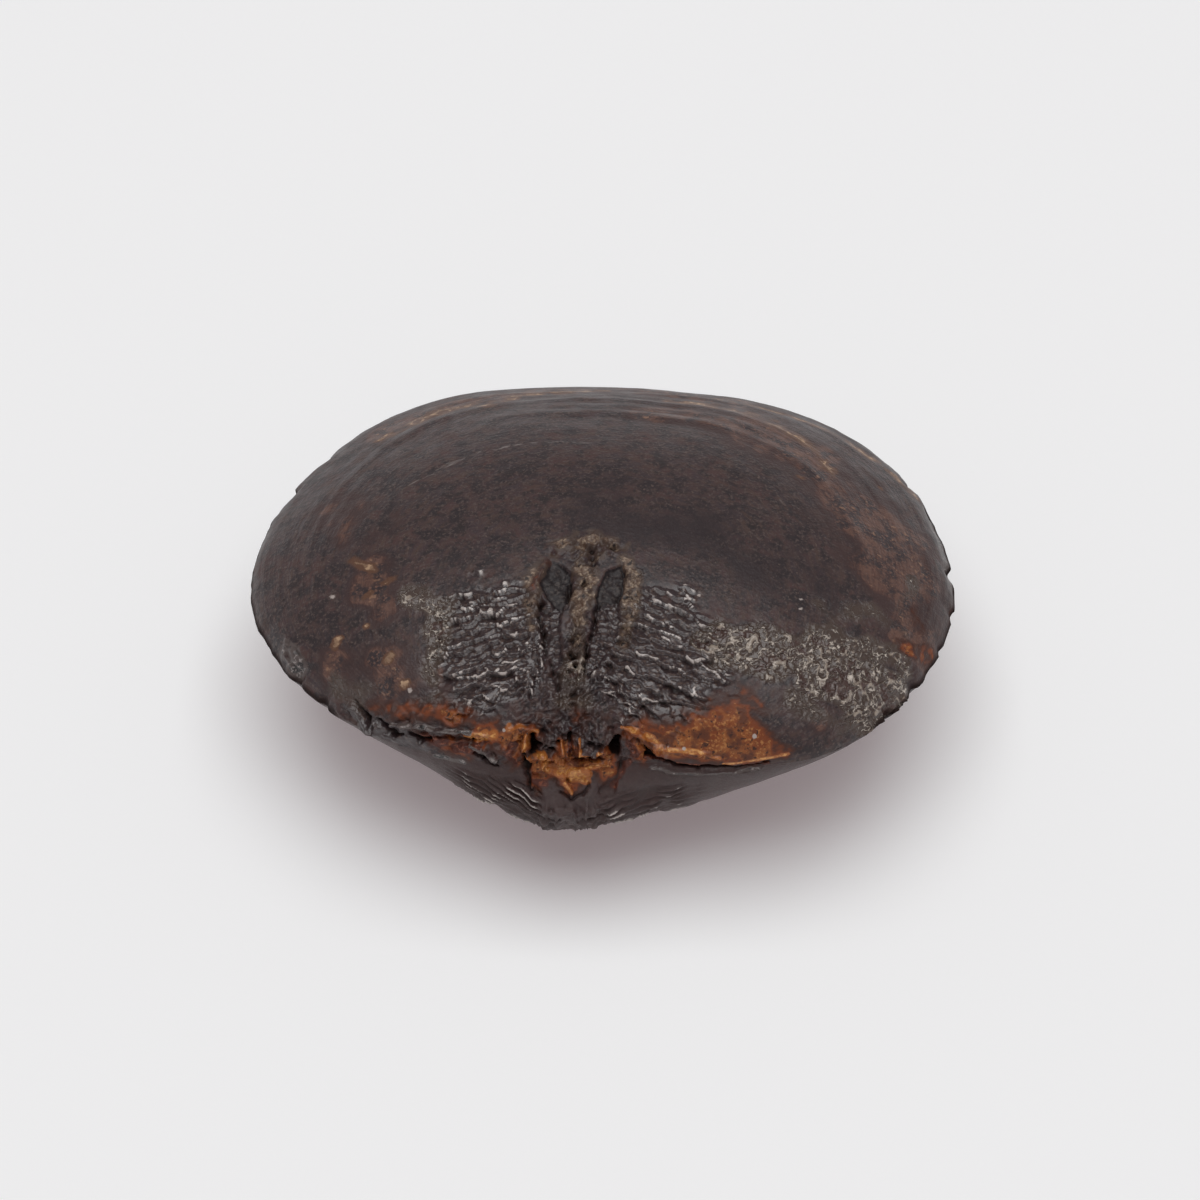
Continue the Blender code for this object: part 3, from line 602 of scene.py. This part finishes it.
def crust_cover(x, y, base):
    """How fully the crusts of crooked ridges cover each point."""
    closeness = weighted_strokes(x, y, CRUSTS)
    return smooth_step(0.05, 0.8, closeness + 0.35 * lumps(base, 1.0, 41) * (closeness > 0.02))


def crust_threads(base):
    """The crust's crooked ridges: two sets of threads that run into each other."""
    bent = base + 0.12 * np.stack([lumps(base, 0.3, seed) for seed in (42, 43, 44)], axis=1)
    first = threads(bent, CRUST_RIDGE_SPACING, 45, 0.25)
    second = threads(bent, 0.7 * CRUST_RIDGE_SPACING, 46, 0.28)
    return np.clip(first * (0.6 + 0.6 * lumps(base, 0.5, 47)) + 0.8 * second, 0.0, 1.0)


def crust_relief(x, y, base):
    """Crooked ridges on the crusts, uneven in height."""
    ridges = crust_threads(base) - 0.4 + 0.5 * lumps(base, 0.8, 48)
    return CRUST_RIDGE_HEIGHT * crust_cover(x, y, base) * ridges


def growth_relief(x, y, base):
    """Low steps down towards the margin, crowded near it, and fine wrinkles between."""
    place = growth(x, y) + noise(base, (0.008, 3.0, 51), (0.004, 0.9, 52))
    relief = np.zeros_like(x)
    for seed, (line, step) in enumerate(GROWTH_LINES, start=500):
        ledge = smooth_step(line - GROWTH_LINE_WIDTH, line, place)
        ledge = ledge * smooth_step(line + GROWTH_LEDGE_WIDTH, line, place)
        relief += step * ledge * np.clip(0.45 + 1.1 * lumps(base, 4.5, seed), 0.0, 1.2)
    fine = np.sin(place * WRINKLE_RATE + 3.0 * lumps(base, 1.2, 54))
    fine = fine * np.clip(lumps(base, 2.2, 55) + 0.25, 0.0, 1.0)
    front = smooth_step(-2.0, 14.0, y)
    return front * (relief + WRINKLE_HEIGHT * fine * smooth_step(0.55, 0.75, place))


def flake_relief(x, y, base):
    """A thin flake of shell on the margin, broken in curved steps."""
    away = np.hypot(x - FLAKE_CENTRE[0], y - FLAKE_CENTRE[1])
    step = (away + 0.15 * lumps(base, 0.8, 56)) / FLAKE_STEP
    rough = noise(base, (0.7, 0.5, 57), (0.5, 0.25, 58))
    return FLAKE_HEIGHT * stroke(x, y, SHELL_FLAKE) ** 0.5 * (1.0 - (step - np.floor(step)) ** 2 + rough)


def hinge_relief(x, z, base):
    """The back face: sockets with raised rims, a lumpy wedge between them, and what lies beside."""
    x, z = crooked(x, z, base)
    relief = np.zeros_like(x)
    for height, route in BACK_RIDGES:
        relief = np.maximum(relief, height * stroke(x, z, route))
    rough = noise(base, (0.16, 0.5, 61), (0.15, 0.27, 62), (0.07, 0.16, 63))
    relief += rough * stroke(x, z, HINGE_ROUGH)
    return relief - weighted_strokes(x, z, BACK_HOLLOWS)


def flank_strands(x, z, base):
    """The braided ridges of the flanks, 0 to 1 across each, and where they are."""
    left = x < 0.0
    spacing = np.where(left, *FLANK_SPACING)
    bend = noise(base, (0.16, 1.6, 73), (0.09, 0.5, 74))
    strand = (z - np.where(left, *FLANK_SLOPE) * np.abs(x) + bend) / spacing
    ridge = np.abs((strand - np.floor(strand)) - 0.5) * 2.0
    field = smooth_step(*FLANK_INNER, np.abs(x)) * smooth_step(*FLANK_OUTER, np.abs(x))
    field = field * smooth_step(*FLANK_TOP, z + np.where(left, 0.0, 0.5)) * smooth_step(*FLANK_BOTTOM, z)
    broken = np.clip(0.7 + 1.0 * lumps(base, 0.6, 75), 0.0, 1.2)
    return ridge**1.4 * broken, field


def beak_relief(x, z, base):
    """The ventral beak: crumpled below its two lobes, with braided ridges down both flanks."""
    below = smooth_step(2.2, 1.4, np.abs(x)) * smooth_step(-1.2, -2.0, z)
    crumple = threads(base, 0.5, 71, 0.3) + noise(base, (0.8, 0.35, 72), (0.4, 0.2, 76))
    ridge, field = flank_strands(x, z, base)
    return BEAK_CRUMPLE_HEIGHT * crumple * below + FLANK_RIDGE_HEIGHT * field * (ridge - 0.4)


def broken_edge_relief(x, y, base):
    """The ragged crust left of the hinge: a raised shelf, broken along its back."""
    shelf = stroke(x, y, BROKEN_EDGE) ** 0.7
    rough = noise(base, (0.2, 0.8, 81), (0.16, 0.4, 82), (0.08, 0.2, 83))
    return shelf * (BROKEN_EDGE_HEIGHT + rough)


def back_face(y):
    """1 on the back face, fading to 0 in front of it."""
    return smooth_step(*BACK_FACE_REACH, y)


def relief_at(radius, angle, dorsal, base):
    """How far the surface stands out from the smooth mould."""
    x, y, z = base.T
    back = back_face(y)
    top = muscle_relief(x, y, base) + scale_plates(x, y, base)[0] + crust_relief(x, y, base)
    top += growth_relief(x, y, base) + broken_edge_relief(x, y, base) + flake_relief(x, y, base)
    top += CREASE_HEIGHT * stroke(x, y, CREASE) - FACET_DEPTH * stroke(x, y, RIM_FACET)
    lobes = strokes(x, y, UNDERSIDE_LOBES)
    under = back * beak_relief(x, z, base) + UNDERSIDE_HEIGHT * lobes * smooth_step(-4.5, -6.5, z)
    under += growth_relief(x, y, base)
    relief = np.where(dorsal, top, under) * (radius < RIM_RADIUS)
    return relief + back * hinge_relief(x, z, base)


def unevenness(base):
    """The gentle swells and dents of the whole stone."""
    return noise(base, (0.05, 3.5, 1), (0.018, 1.3, 2), (0.008, 0.5, 3))


# ---------------------------------------------------------------- stains: each returns 0 to 1


def rust_cover(x, y, z, dorsal, base):
    """Orange limonite: patches beside the hinge, the wedge between the sockets, and stray marks."""
    inside = np.max([way_inside(x, z, outline) for outline in RUST_OUTLINES], axis=0)
    ragged = noise(base, (0.3, 0.9, 101), (0.24, 0.35, 102), (0.12, 0.18, 104))
    patches = smooth_step(-0.42, 0.48, inside + ragged) * back_face(y)
    marks = weighted_strokes(x, y, RUST_ROUTES) ** 0.6
    ragged = noise(base, (1.0, 0.45, 103), (0.6, 0.22, 105))
    return np.maximum(patches, np.clip(marks * (1.0 + ragged), 0.0, 1.0) * dorsal)


def soft_cover(closeness, base, seed):
    """A closeness with a ragged edge."""
    ragged = noise(base, (0.7, 0.5, seed), (0.5, 0.25, seed + 50))
    return smooth_step(0.1, 0.85, closeness * (1.0 + ragged))


def surface_facts(radius, angle, dorsal, base, relief):
    """The attributes that the stone's material reads, by name."""
    x, y, z = base.T
    back = back_face(y)
    channels = channels_at(x, y, base)
    slots = np.max([facet_cover(x, y, base, outline) for _, _, outline in SLOT_FACETS], axis=0) * dorsal
    open_relief = relief + CHANNEL_DEPTH * channels + FACET_FLOOR * slots
    edges = scale_plates(x, y, base)[1]
    scales = np.max([scale_cover(x, y, base, field) for field in SCALE_FIELDS], axis=0)
    scales = np.maximum(np.maximum(scales, channels), 0.7 * stroke(x, y, LUMPY_MIDDLE)) * dorsal
    crust = crust_cover(x, y, base) * dorsal
    strands, flanks = flank_strands(x, z, base)
    flanks = flanks * back * (1.0 - dorsal)
    grey = np.maximum(strokes(x, z, GREY_ROUTES) * back, strokes(x, y, (SHELL_FLAKE, RIM_FACET)) * dorsal)
    beak = smooth_step(-0.3, -1.0, z) * smooth_step(2.5, 1.0, y)
    black = stroke(x, z, BLACK_ROUTE) ** 0.5 * back
    tan = np.maximum(weighted_strokes(x, y, TAN_ROUTES), spots_at(x, y, TAN_SPOTS))
    dark = weighted_strokes(x, y, DARK_ROUTES) * (1.0 + noise(base, (0.5, 2.2, 118), (0.3, 0.9, 119)))
    bare = dorsal * (1.0 - channels) * (1.0 - slots)
    brown = weighted_strokes(x, y, BROWN_ROUTES)
    brown = brown + noise(base, (0.4, 1.6, 115), (0.25, 0.7, 116)) * (brown > 0.0)
    return {
        "rust": rust_cover(x, y, z, dorsal, base),
        "ochre": soft_cover(strokes(x, z, OCHRE_ROUTES) * back, base, 111),
        "red": soft_cover(strokes(x, z, RED_ROUTES) * back, base, 112),
        "earth": soft_cover(weighted_strokes(x, y, EARTH_ROUTES), base, 113) * bare,
        "brown": np.where(dorsal, smooth_step(-0.1, 0.75, brown), 0.75 * back),
        "tan": soft_cover(tan, base, 117) * dorsal,
        # Painted highlight: pale glint streaks along some crests.
        "glint": strokes(x, y, PAINTED_GLINT_ROUTES) * dorsal,
        "dark": smooth_step(0.0, 0.7, dark) * dorsal,
        "slot": slots,
        "scales": np.clip(smooth_step(0.3, 1.0, scales) + 0.3 * beak + black, 0.0, 1.0),
        "crust": crust,
        "crust_ridge": crust * crust_threads(base),
        # Painted shade: darkens low places in the relief and the gaps between the flank ridges.
        "hollow": np.maximum(smooth_step(-0.1, -0.4, open_relief),
                             0.35 * flanks * smooth_step(0.5, 0.1, strands)),
        # Painted shade: a thin dark line along the margin, where the edge turns under. Its reflection is
        # damped too.
        "rim": smooth_step(0.99, 1.0, radius) * (1.0 - back),
        # Painted highlight: the free edges of the scales and the crests of the flank ridges, which are also
        # made glossier.
        "lip": np.maximum(edges * dorsal, 0.7 * flanks * smooth_step(0.6, 1.0, strands)),
        "grey": soft_cover(grey, base, 114),
        "pale": np.maximum(spots_at(x, y, PALE_SPOTS) * dorsal, spots_at(x, z, PALE_BACK_SPOTS) * back),
        "growth": growth(x, y),
        "bearing": np.arctan2(y, x),
    }


# ---------------------------------------------------------------- building the mould


def lay_down(points):
    """Tips the mould forward, trims its seat flat and centres it on the solid's box, on z = 0."""
    x, y, z = points.T
    tilt_cos, tilt_sin = math.cos(FORWARD_TILT), math.sin(FORWARD_TILT)
    laid = np.stack([x, y * tilt_cos + z * tilt_sin, z * tilt_cos - y * tilt_sin], axis=1)
    seat = laid[:, 2].min() + SEAT_TRIM
    laid[:, 2] = np.maximum(laid[:, 2], seat) - seat
    low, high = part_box(CAD_NODE)
    middle = np.array([low[0] + high[0], low[1] + high[1]]) / (2.0 * MM)
    laid[:, :2] += middle - 0.5 * (laid[:, :2].min(axis=0) + laid[:, :2].max(axis=0))
    return laid


def vertex_array(mesh):
    """The places of a bmesh's vertices, one in each row."""
    return np.array([vertex.co[:] for vertex in mesh.verts])


def disc_places(corners):
    """Vertices of a six-sided double pyramid to disc radius, angle and valve."""
    height = np.clip(np.abs(corners[:, 2]), 0.0, 1.0)
    radius = np.sin(0.5 * math.pi * (1.0 - height))
    dorsal = corners[:, 2] > -1e-5   # and so is the margin itself
    return radius, np.arctan2(corners[:, 1], corners[:, 0]), dorsal


def halve_sides(mesh, chosen):
    """Cuts the chosen edges at the middle, and splits the faces beside them into triangles."""
    bmesh.ops.subdivide_edges(mesh, edges=chosen, cuts=1, use_grid_fill=True)
    bmesh.ops.triangulate(mesh, faces=[face for face in mesh.faces if len(face.verts) > 3])


def within_box(points, low, high):
    """Which points lie between two corners."""
    return np.all((points > np.array(low)) & (points < np.array(high)), axis=1)


def refined_pyramid():
    """A double pyramid in small triangles, finest where the relief is finest."""
    mesh = bmesh.new()
    bmesh.ops.create_uvsphere(mesh, u_segments=6, v_segments=2, radius=1.0)
    for _ in range(COARSE_HALVINGS):
        halve_sides(mesh, mesh.edges[:])
    for boxes in FINER_BOXES:
        points = valve_points(*disc_places(vertex_array(mesh)))
        wanted = np.any([within_box(points, low, high) for low, high in boxes], axis=0)
        mesh.verts.index_update()
        chosen = [edge for edge in mesh.edges if all(wanted[end.index] for end in edge.verts)]
        halve_sides(mesh, chosen)
    return mesh


def add_object(name, data):
    """A new object in the scene, which holds this data."""
    thing = bpy.data.objects.new(name, data)
    bpy.context.scene.collection.objects.link(thing)
    return thing


def finished_mesh(shape, name):
    """Turns a bmesh into a mesh of this name."""
    mesh = bpy.data.meshes.new(name)
    shape.to_mesh(mesh)
    shape.free()
    return mesh


def make_mould():
    """The whole stone as one mesh, with the attributes that its material reads."""
    shape = refined_pyramid()
    places = disc_places(vertex_array(shape))
    base = valve_points(*places)
    relief = relief_at(*places, base)
    height = relief + unevenness(base) - SKIN_INSET
    points = lay_down(base + outward(*places) * height[:, None]) * MM
    for vertex, point in zip(shape.verts, points):
        vertex.co = point
    bmesh.ops.recalc_face_normals(shape, faces=shape.faces[:])
    mesh = finished_mesh(shape, "mould_surface")
    mesh.shade_smooth()
    for name, values in surface_facts(*places, base, relief).items():
        layer = mesh.attributes.new(name, "FLOAT", "POINT")
        layer.data.foreach_set("value", values.astype(np.float32))
    return add_object("mould_surface", mesh)


# ---------------------------------------------------------------- materials


def linear(hex_colour):
    """An sRGB hex colour, as on a colour card, to the linear colour that shaders take."""
    parts = [int(hex_colour[place:place + 2], 16) / 255.0 for place in (1, 3, 5)]
    curve = (part / 12.92 if part <= 0.04045 else ((part + 0.055) / 1.055) ** 2.4 for part in parts)
    return (*curve, 1.0)


def per_mm(size):
    """Noise scale, in metres of Object coordinates, that gives lumps of this many millimetres."""
    return 1.0 / (size * MM)


def add_node(material, kind, inputs=(), **settings):
    """Adds a node. settings are its properties; inputs are values to set or sockets to link."""
    tree = material.node_tree
    node = tree.nodes.new(kind)
    for name, value in settings.items():
        setattr(node, name, value)
    for name, value in dict(inputs).items():
        if isinstance(value, bpy.types.NodeSocket):
            tree.links.new(value, node.inputs[name])
        else:
            node.inputs[name].default_value = value
    return node


STONE_COLOUR = "#33272a"
STONE_IOR = 1.6              # clay and quartz are near 1.55, and goethite is above 2
STONE_ROUGHNESS = (0.38, 0.54)  # satin: where it is most rubbed and where it is least
# Patterns of the stone: lump size in mm, detail and roughness of the noise. The real grains are
# finer than 0.1 mm, and are drawn as coarse as they need to be to show.
STONE_PATTERNS = {
    "clouds": (4.5, 4.0, 0.55), "mottle": (1.3, 4.0, 0.6), "patch": (0.9, 3.0, 0.6),
    "blotch": (0.5, 3.0, 0.6), "grain": (0.17, 2.0, 0.6), "fleck": (0.3, 1.0, 0.4),
    "pits": (0.24, 2.0, 0.6),
}
THREAD_SPACING = 0.45        # mm, of the finest crooked ridges
# A growth line is about 0.25 mm wide here, and one streak runs for about 2 mm. These turn the way
# from the hinge to the margin (0 to 1) and the bearing in radians to such lumps.
STREAK_SCALE = (95.0, 10.0, 1.0)
# The finest relief, which is left to bump: its pattern and its depth in mm.
STONE_BUMPS = {"threads": 0.08, "grain": 0.05, "blotch": 0.1, "streaks": 0.12}
# Coats over the bare stone: where (an attribute, or "all"), the pattern that breaks it up, and the
# threshold and softness for 2 x attribute + pattern. A pattern's middle is 0.5, so 1.5 puts the
# edge where the attribute is a half, and 2.5 takes half of a place that is fully covered.
STONE_COATS = (
    ("all", "clouds", 2.52, 0.15, "#3a2c2f"),      # greyer, finer mud
    ("all", "mottle", 2.54, 0.12, "#452c2a"),      # redder
    ("all", "streaks", 2.55, 0.15, "#48352e"),     # warm streaks along the growth lines
    ("all", "patch", 2.54, 0.1, "#241a1d"),        # purplish black
    ("all", "blotch", 2.6, 0.1, "#241a1b"),        # dark grains
    ("all", "grain", 2.6, 0.1, "#4e403d"),         # light grains
    ("all", "pits", 2.7, 0.06, "#5a4a44"),         # lighter chips
    ("dark", "mottle", 1.8, 0.9, "#281c1f"),
    ("brown", "mottle", 1.7, 0.7, "#3b2725"),
    ("brown", "blotch", 2.4, 0.2, "#50342c"),
    ("brown", "streaks", 2.47, 0.15, "#62453a"),
    ("brown", "patch", 2.5, 0.12, "#2c2022"),
    ("brown", "grain", 2.6, 0.1, "#694b40"),
    ("brown", "blotch", 2.66, 0.05, "#80604c"),
    # Painted highlights: pale glint streaks along the crests.
    ("glint", "streaks", 2.42, 0.12, "#6f6764"),
    ("glint", "streaks", 2.56, 0.08, "#a39b97"),
    ("tan", "blotch", 1.5, 0.5, "#5a3b29"),
    ("tan", "grain", 2.4, 0.2, "#866a52"),
    ("tan", "fleck", 2.55, 0.08, "#a98a6d"),
    ("scales", "blotch", 1.5, 0.4, "#322526"),
    ("scales", "grain", 2.58, 0.1, "#56453e"),
    ("slot", "blotch", 1.5, 0.3, "#1f181a"),
    ("slot", "mottle", 2.5, 0.12, "#2c2526"),
    ("slot", "grain", 2.58, 0.1, "#453d3a"),
    # Painted highlight: the scales' free edges and the flank ridges' crests are painted pale.
    ("lip", "grain", 1.4, 0.5, "#b9afa9"),
    ("crust", "mottle", 1.5, 0.5, "#46372f"),
    ("crust_ridge", "grain", 2.0, 0.3, "#978a7d"),
    # Pale threads: partly the crust's own light tan, partly painted glints.
    ("crust", "threads", 2.42, 0.3, "#cbc0b4"),
    ("crust", "patch", 2.55, 0.06, "#46302a"),
    ("earth", "blotch", 1.4, 0.5, "#46362e"),
    ("earth", "mottle", 2.5, 0.2, "#594132"),
    ("earth", "grain", 2.5, 0.2, "#7c6a5b"),
    ("earth", "grain", 2.64, 0.08, "#a08d79"),
    ("earth", "blotch", 2.6, 0.06, "#261b18"),
    ("rust", "blotch", 1.2, 0.5, "#42241a"),
    ("rust", "blotch", 2.0, 0.4, "#753a1b"),
    ("rust", "mottle", 2.48, 0.1, "#8a4f27"),
    ("rust", "grain", 2.58, 0.1, "#a8703f"),
    ("rust", "patch", 2.54, 0.1, "#59301e"),
    ("rust", "pits", 2.62, 0.06, "#3b2018"),       # dark pits
    ("red", "grain", 1.4, 0.5, "#4b2217"),
    ("red", "grain", 2.55, 0.1, "#7c4632"),
    ("ochre", "blotch", 1.5, 0.5, "#9a5822"),
    ("ochre", "grain", 2.5, 0.15, "#cd9554"),
    ("grey", "blotch", 1.5, 0.5, "#4f4441"),
    ("grey", "patch", 2.52, 0.1, "#1d1819"),
    # Light flecks: partly the grey shell's own colour, partly painted glints.
    ("grey", "grain", 2.58, 0.1, "#8a817e"),
    ("pale", "grain", 1.4, 0.3, "#a99e98"),
    # Painted shade: near black where the relief is low and between the flank ridges.
    ("hollow", "grain", 1.5, 0.7, "#1c100c"),
    # Painted shade: darkens the very edge of the margin.
    ("rim", "grain", 2.0, 0.8, "#251b1a"),
)
STONE_SHEEN = 0.36          # specular level of the bare stone
# The sheen of special places: attribute, roughness and specular level where it is full.
STONE_GLOSS = (
    ("scales", 0.28, 0.65), ("slot", 0.5, 0.25), ("crust", 0.3, 0.6), ("rust", 0.5, 0.25),
    ("ochre", 0.35, 0.5), ("earth", 0.5, 0.35), ("lip", 0.2, 1.0), ("grey", 0.4, 0.5),
    ("hollow", 0.5, 0.1), ("rim", 0.7, 0.05),
)


def ironstone():
    """Iron-rich mudstone that filled the shell: goethite gives the near-black brown and a satin
    shine on worn places, and where it has turned to earthy limonite it is orange and dull."""
    material = bpy.data.materials.new("goethite_ironstone")
    material.use_nodes = True
    surface = material.node_tree.nodes["Principled BSDF"]
    node = functools.partial(add_node, material)
    place = node("ShaderNodeTexCoord").outputs["Object"]
    patterns = {
        name: node("ShaderNodeTexNoise", {
            "Vector": place, "Scale": per_mm(size), "Detail": detail, "Roughness": roughness}).outputs["Fac"]
        for name, (size, detail, roughness) in STONE_PATTERNS.items()
    }
    wander = node("ShaderNodeTexNoise", {
        "Vector": place, "Scale": per_mm(THREAD_SPACING), "Detail": 0.0, "Distortion": 0.7}).outputs["Fac"]
    level = node("ShaderNodeMath", {0: wander, 1: 0.5}, operation="SUBTRACT")
    away = node("ShaderNodeMath", {0: level.outputs[0]}, operation="ABSOLUTE")
    # A thread runs where the noise crosses its middle, and the grain breaks it up.
    broken = node("ShaderNodeMath", {0: patterns["grain"], 1: 0.25, 2: away.outputs[0]},
                  operation="MULTIPLY_ADD")
    patterns["threads"] = node("ShaderNodeMapRange", {
        "Value": broken.outputs[0], "From Min": 0.19, "From Max": 0.1}).outputs["Result"]
    names = {coat[0] for coat in STONE_COATS} | {"growth", "bearing"}
    cover = {name: node("ShaderNodeAttribute", attribute_name=name).outputs["Fac"]
             for name in sorted(names - {"all"})}
    cover["all"] = 1.0
    growth_place = node("ShaderNodeCombineXYZ", {"X": cover["growth"], "Y": cover["bearing"]})
    stretched = node("ShaderNodeVectorMath", {0: growth_place.outputs[0], 1: STREAK_SCALE},
                     operation="MULTIPLY")
    patterns["streaks"] = node("ShaderNodeTexNoise", {
        "Vector": stretched.outputs[0], "Scale": 1.0, "Detail": 4.0, "Roughness": 0.65}).outputs["Fac"]

    # A Mix node's factor is its input 0. Its two colours are inputs 6 and 7, its two numbers 2 and 3.
    colour = linear(STONE_COLOUR)
    for name, pattern, threshold, softness, tint in STONE_COATS:
        amount = node("ShaderNodeMath", {0: cover[name], 1: 2.0, 2: patterns[pattern]},
                      operation="MULTIPLY_ADD")
        soft = node("ShaderNodeMapRange", {
            "Value": amount.outputs[0], "From Min": threshold - softness, "From Max": threshold + softness},
            interpolation_type="SMOOTHSTEP")
        colour = node("ShaderNodeMix", {
            0: soft.outputs["Result"], 6: colour, 7: linear(tint)}, data_type="RGBA").outputs[2]
    material.node_tree.links.new(colour, surface.inputs["Base Color"])

    gloss = node("ShaderNodeMapRange", {
        "Value": patterns["mottle"], "From Min": 0.3, "From Max": 0.7,
        "To Min": STONE_ROUGHNESS[0], "To Max": STONE_ROUGHNESS[1]}).outputs["Result"]
    sheen = STONE_SHEEN
    for name, roughness, specular in STONE_GLOSS:
        gloss = node("ShaderNodeMix", {0: cover[name], 2: gloss, 3: roughness}).outputs[0]
        sheen = node("ShaderNodeMix", {0: cover[name], 2: sheen, 3: specular}).outputs[0]
    material.node_tree.links.new(gloss, surface.inputs["Roughness"])
    material.node_tree.links.new(sheen, surface.inputs["Specular IOR Level"])
    surface.inputs["IOR"].default_value = STONE_IOR
    surface.inputs["Specular IOR Level"].default_value = STONE_SHEEN

    rugged = node("ShaderNodeMath", {0: cover["scales"], 1: cover["crust"]}, operation="MAXIMUM")
    fine = node("ShaderNodeMapRange", {"Value": rugged.outputs[0], "To Min": 0.5, "To Max": 0.7})
    grown = node("ShaderNodeMapRange", {
        "Value": cover["growth"], "From Min": 0.45, "From Max": 0.8, "To Max": 0.35})
    strengths = {"threads": cover["crust"], "grain": fine.outputs["Result"], "blotch": 0.35,
                 "streaks": grown.outputs["Result"]}
    below = {}
    for name, depth in STONE_BUMPS.items():
        bump = node("ShaderNodeBump", {
            "Height": patterns[name], "Distance": depth * MM, "Strength": strengths[name], **below})
        below = {"Normal": bump.outputs["Normal"]}
    material.node_tree.links.new(below["Normal"], surface.inputs["Normal"])
    return material


def studio_card():
    """Matt white card, which gives a plain ground with soft shadows."""
    material = bpy.data.materials.new("matt_white_card")
    material.use_nodes = True
    surface = material.node_tree.nodes["Principled BSDF"]
    looks = {"Base Color": linear(CARD_COLOUR), "Roughness": 0.9, "Specular IOR Level": 0.2,
             "Emission Color": linear(CARD_GLOW_COLOUR), "Emission Strength": CARD_GLOW}
    for name, value in looks.items():
        surface.inputs[name].default_value = value
    return material


# ---------------------------------------------------------------- studio: metres and degrees

CARD_COLOUR = "#eef5f5"
CARD_GLOW = 0.18                     # the card is lit a little from below, which lifts the shadow
CARD_GLOW_COLOUR = "#f0d6da"
CARD_SIZE = 3.0
CAMERA_ELEVATION = math.radians(46.0)
CAMERA_AZIMUTH = math.radians(2.5)   # to the right of straight behind the hinge
CAMERA_DISTANCE = 220.0 * MM
CAMERA_AIM = Vector((0.19, -7.84, 14.82)) * MM
FRAME_WIDTH = 60.76 * MM             # what the picture spans at the aim point
SENSOR_WIDTH = 36.0                  # mm, Blender's own unit for it
ROOM_TINT = (1.0, 0.935, 0.94)       # the walls are a little warm, which shows in the shadow
# The room's brightness from the horizon (0) to straight overhead (1), by sine of elevation.
ROOM_LIGHT = ((0.0, 0.9), (0.12, 0.7), (0.4, 0.2), (1.0, 0.2))
SOFT_BOX_PLACE = (0.0, -0.02, 0.9)
SOFT_BOX_SIZE = 0.95
SOFT_BOX_POWER = 6.2                 # watts


def add_floor():
    shape = bmesh.new()
    bmesh.ops.create_grid(shape, x_segments=1, y_segments=1, size=CARD_SIZE / 2.0)
    mesh = finished_mesh(shape, "floor_card")
    mesh.materials.append(studio_card())
    add_object("floor_card", mesh)


def add_camera():
    flat = math.cos(CAMERA_ELEVATION)
    back = Vector((math.sin(CAMERA_AZIMUTH) * flat, -math.cos(CAMERA_AZIMUTH) * flat,
                   math.sin(CAMERA_ELEVATION)))
    right = Vector((math.cos(CAMERA_AZIMUTH), math.sin(CAMERA_AZIMUTH), 0.0))
    camera = add_object("camera", bpy.data.cameras.new("camera"))
    axes = Matrix((right, back.cross(right), back)).transposed()
    camera.matrix_world = Matrix.Translation(CAMERA_AIM + back * CAMERA_DISTANCE) @ axes.to_4x4()
    camera.data.sensor_width = SENSOR_WIDTH
    camera.data.lens = SENSOR_WIDTH * CAMERA_DISTANCE / FRAME_WIDTH
    camera.data.clip_start = 0.01
    bpy.context.scene.camera = camera


def add_room():
    """Pale walls that darken upwards, so that smooth stone mirrors them only at a low slant."""
    world = bpy.data.worlds.new("studio")
    bpy.context.scene.world = world
    world.use_nodes = True
    direction = add_node(world, "ShaderNodeTexCoord").outputs["Generated"]
    height = add_node(world, "ShaderNodeSeparateXYZ", {"Vector": direction}).outputs["Z"]
    ramp = add_node(world, "ShaderNodeValToRGB", {"Fac": height})
    stops = ramp.color_ramp.elements
    for place, _ in ROOM_LIGHT[1:-1]:
        stops.new(place)
    for stop, (_, strength) in zip(stops, ROOM_LIGHT):
        stop.color = (*(strength * part for part in ROOM_TINT), 1.0)
    world.node_tree.links.new(ramp.outputs["Color"], world.node_tree.nodes["Background"].inputs["Color"])


def add_soft_box():
    light = bpy.data.lights.new("soft_box", "AREA")
    light.size = SOFT_BOX_SIZE
    light.energy = SOFT_BOX_POWER
    box = add_object("soft_box", light)
    box.location = SOFT_BOX_PLACE
    box.rotation_euler = (-Vector(SOFT_BOX_PLACE)).to_track_quat("-Z", "Y").to_euler()


bpy.context.scene.view_settings.view_transform = "Standard"
mould = make_mould()
mould.data.materials.append(ironstone())
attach(mould, "root")
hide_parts(CAD_NODE)
add_floor()
add_camera()
add_room()
add_soft_box()
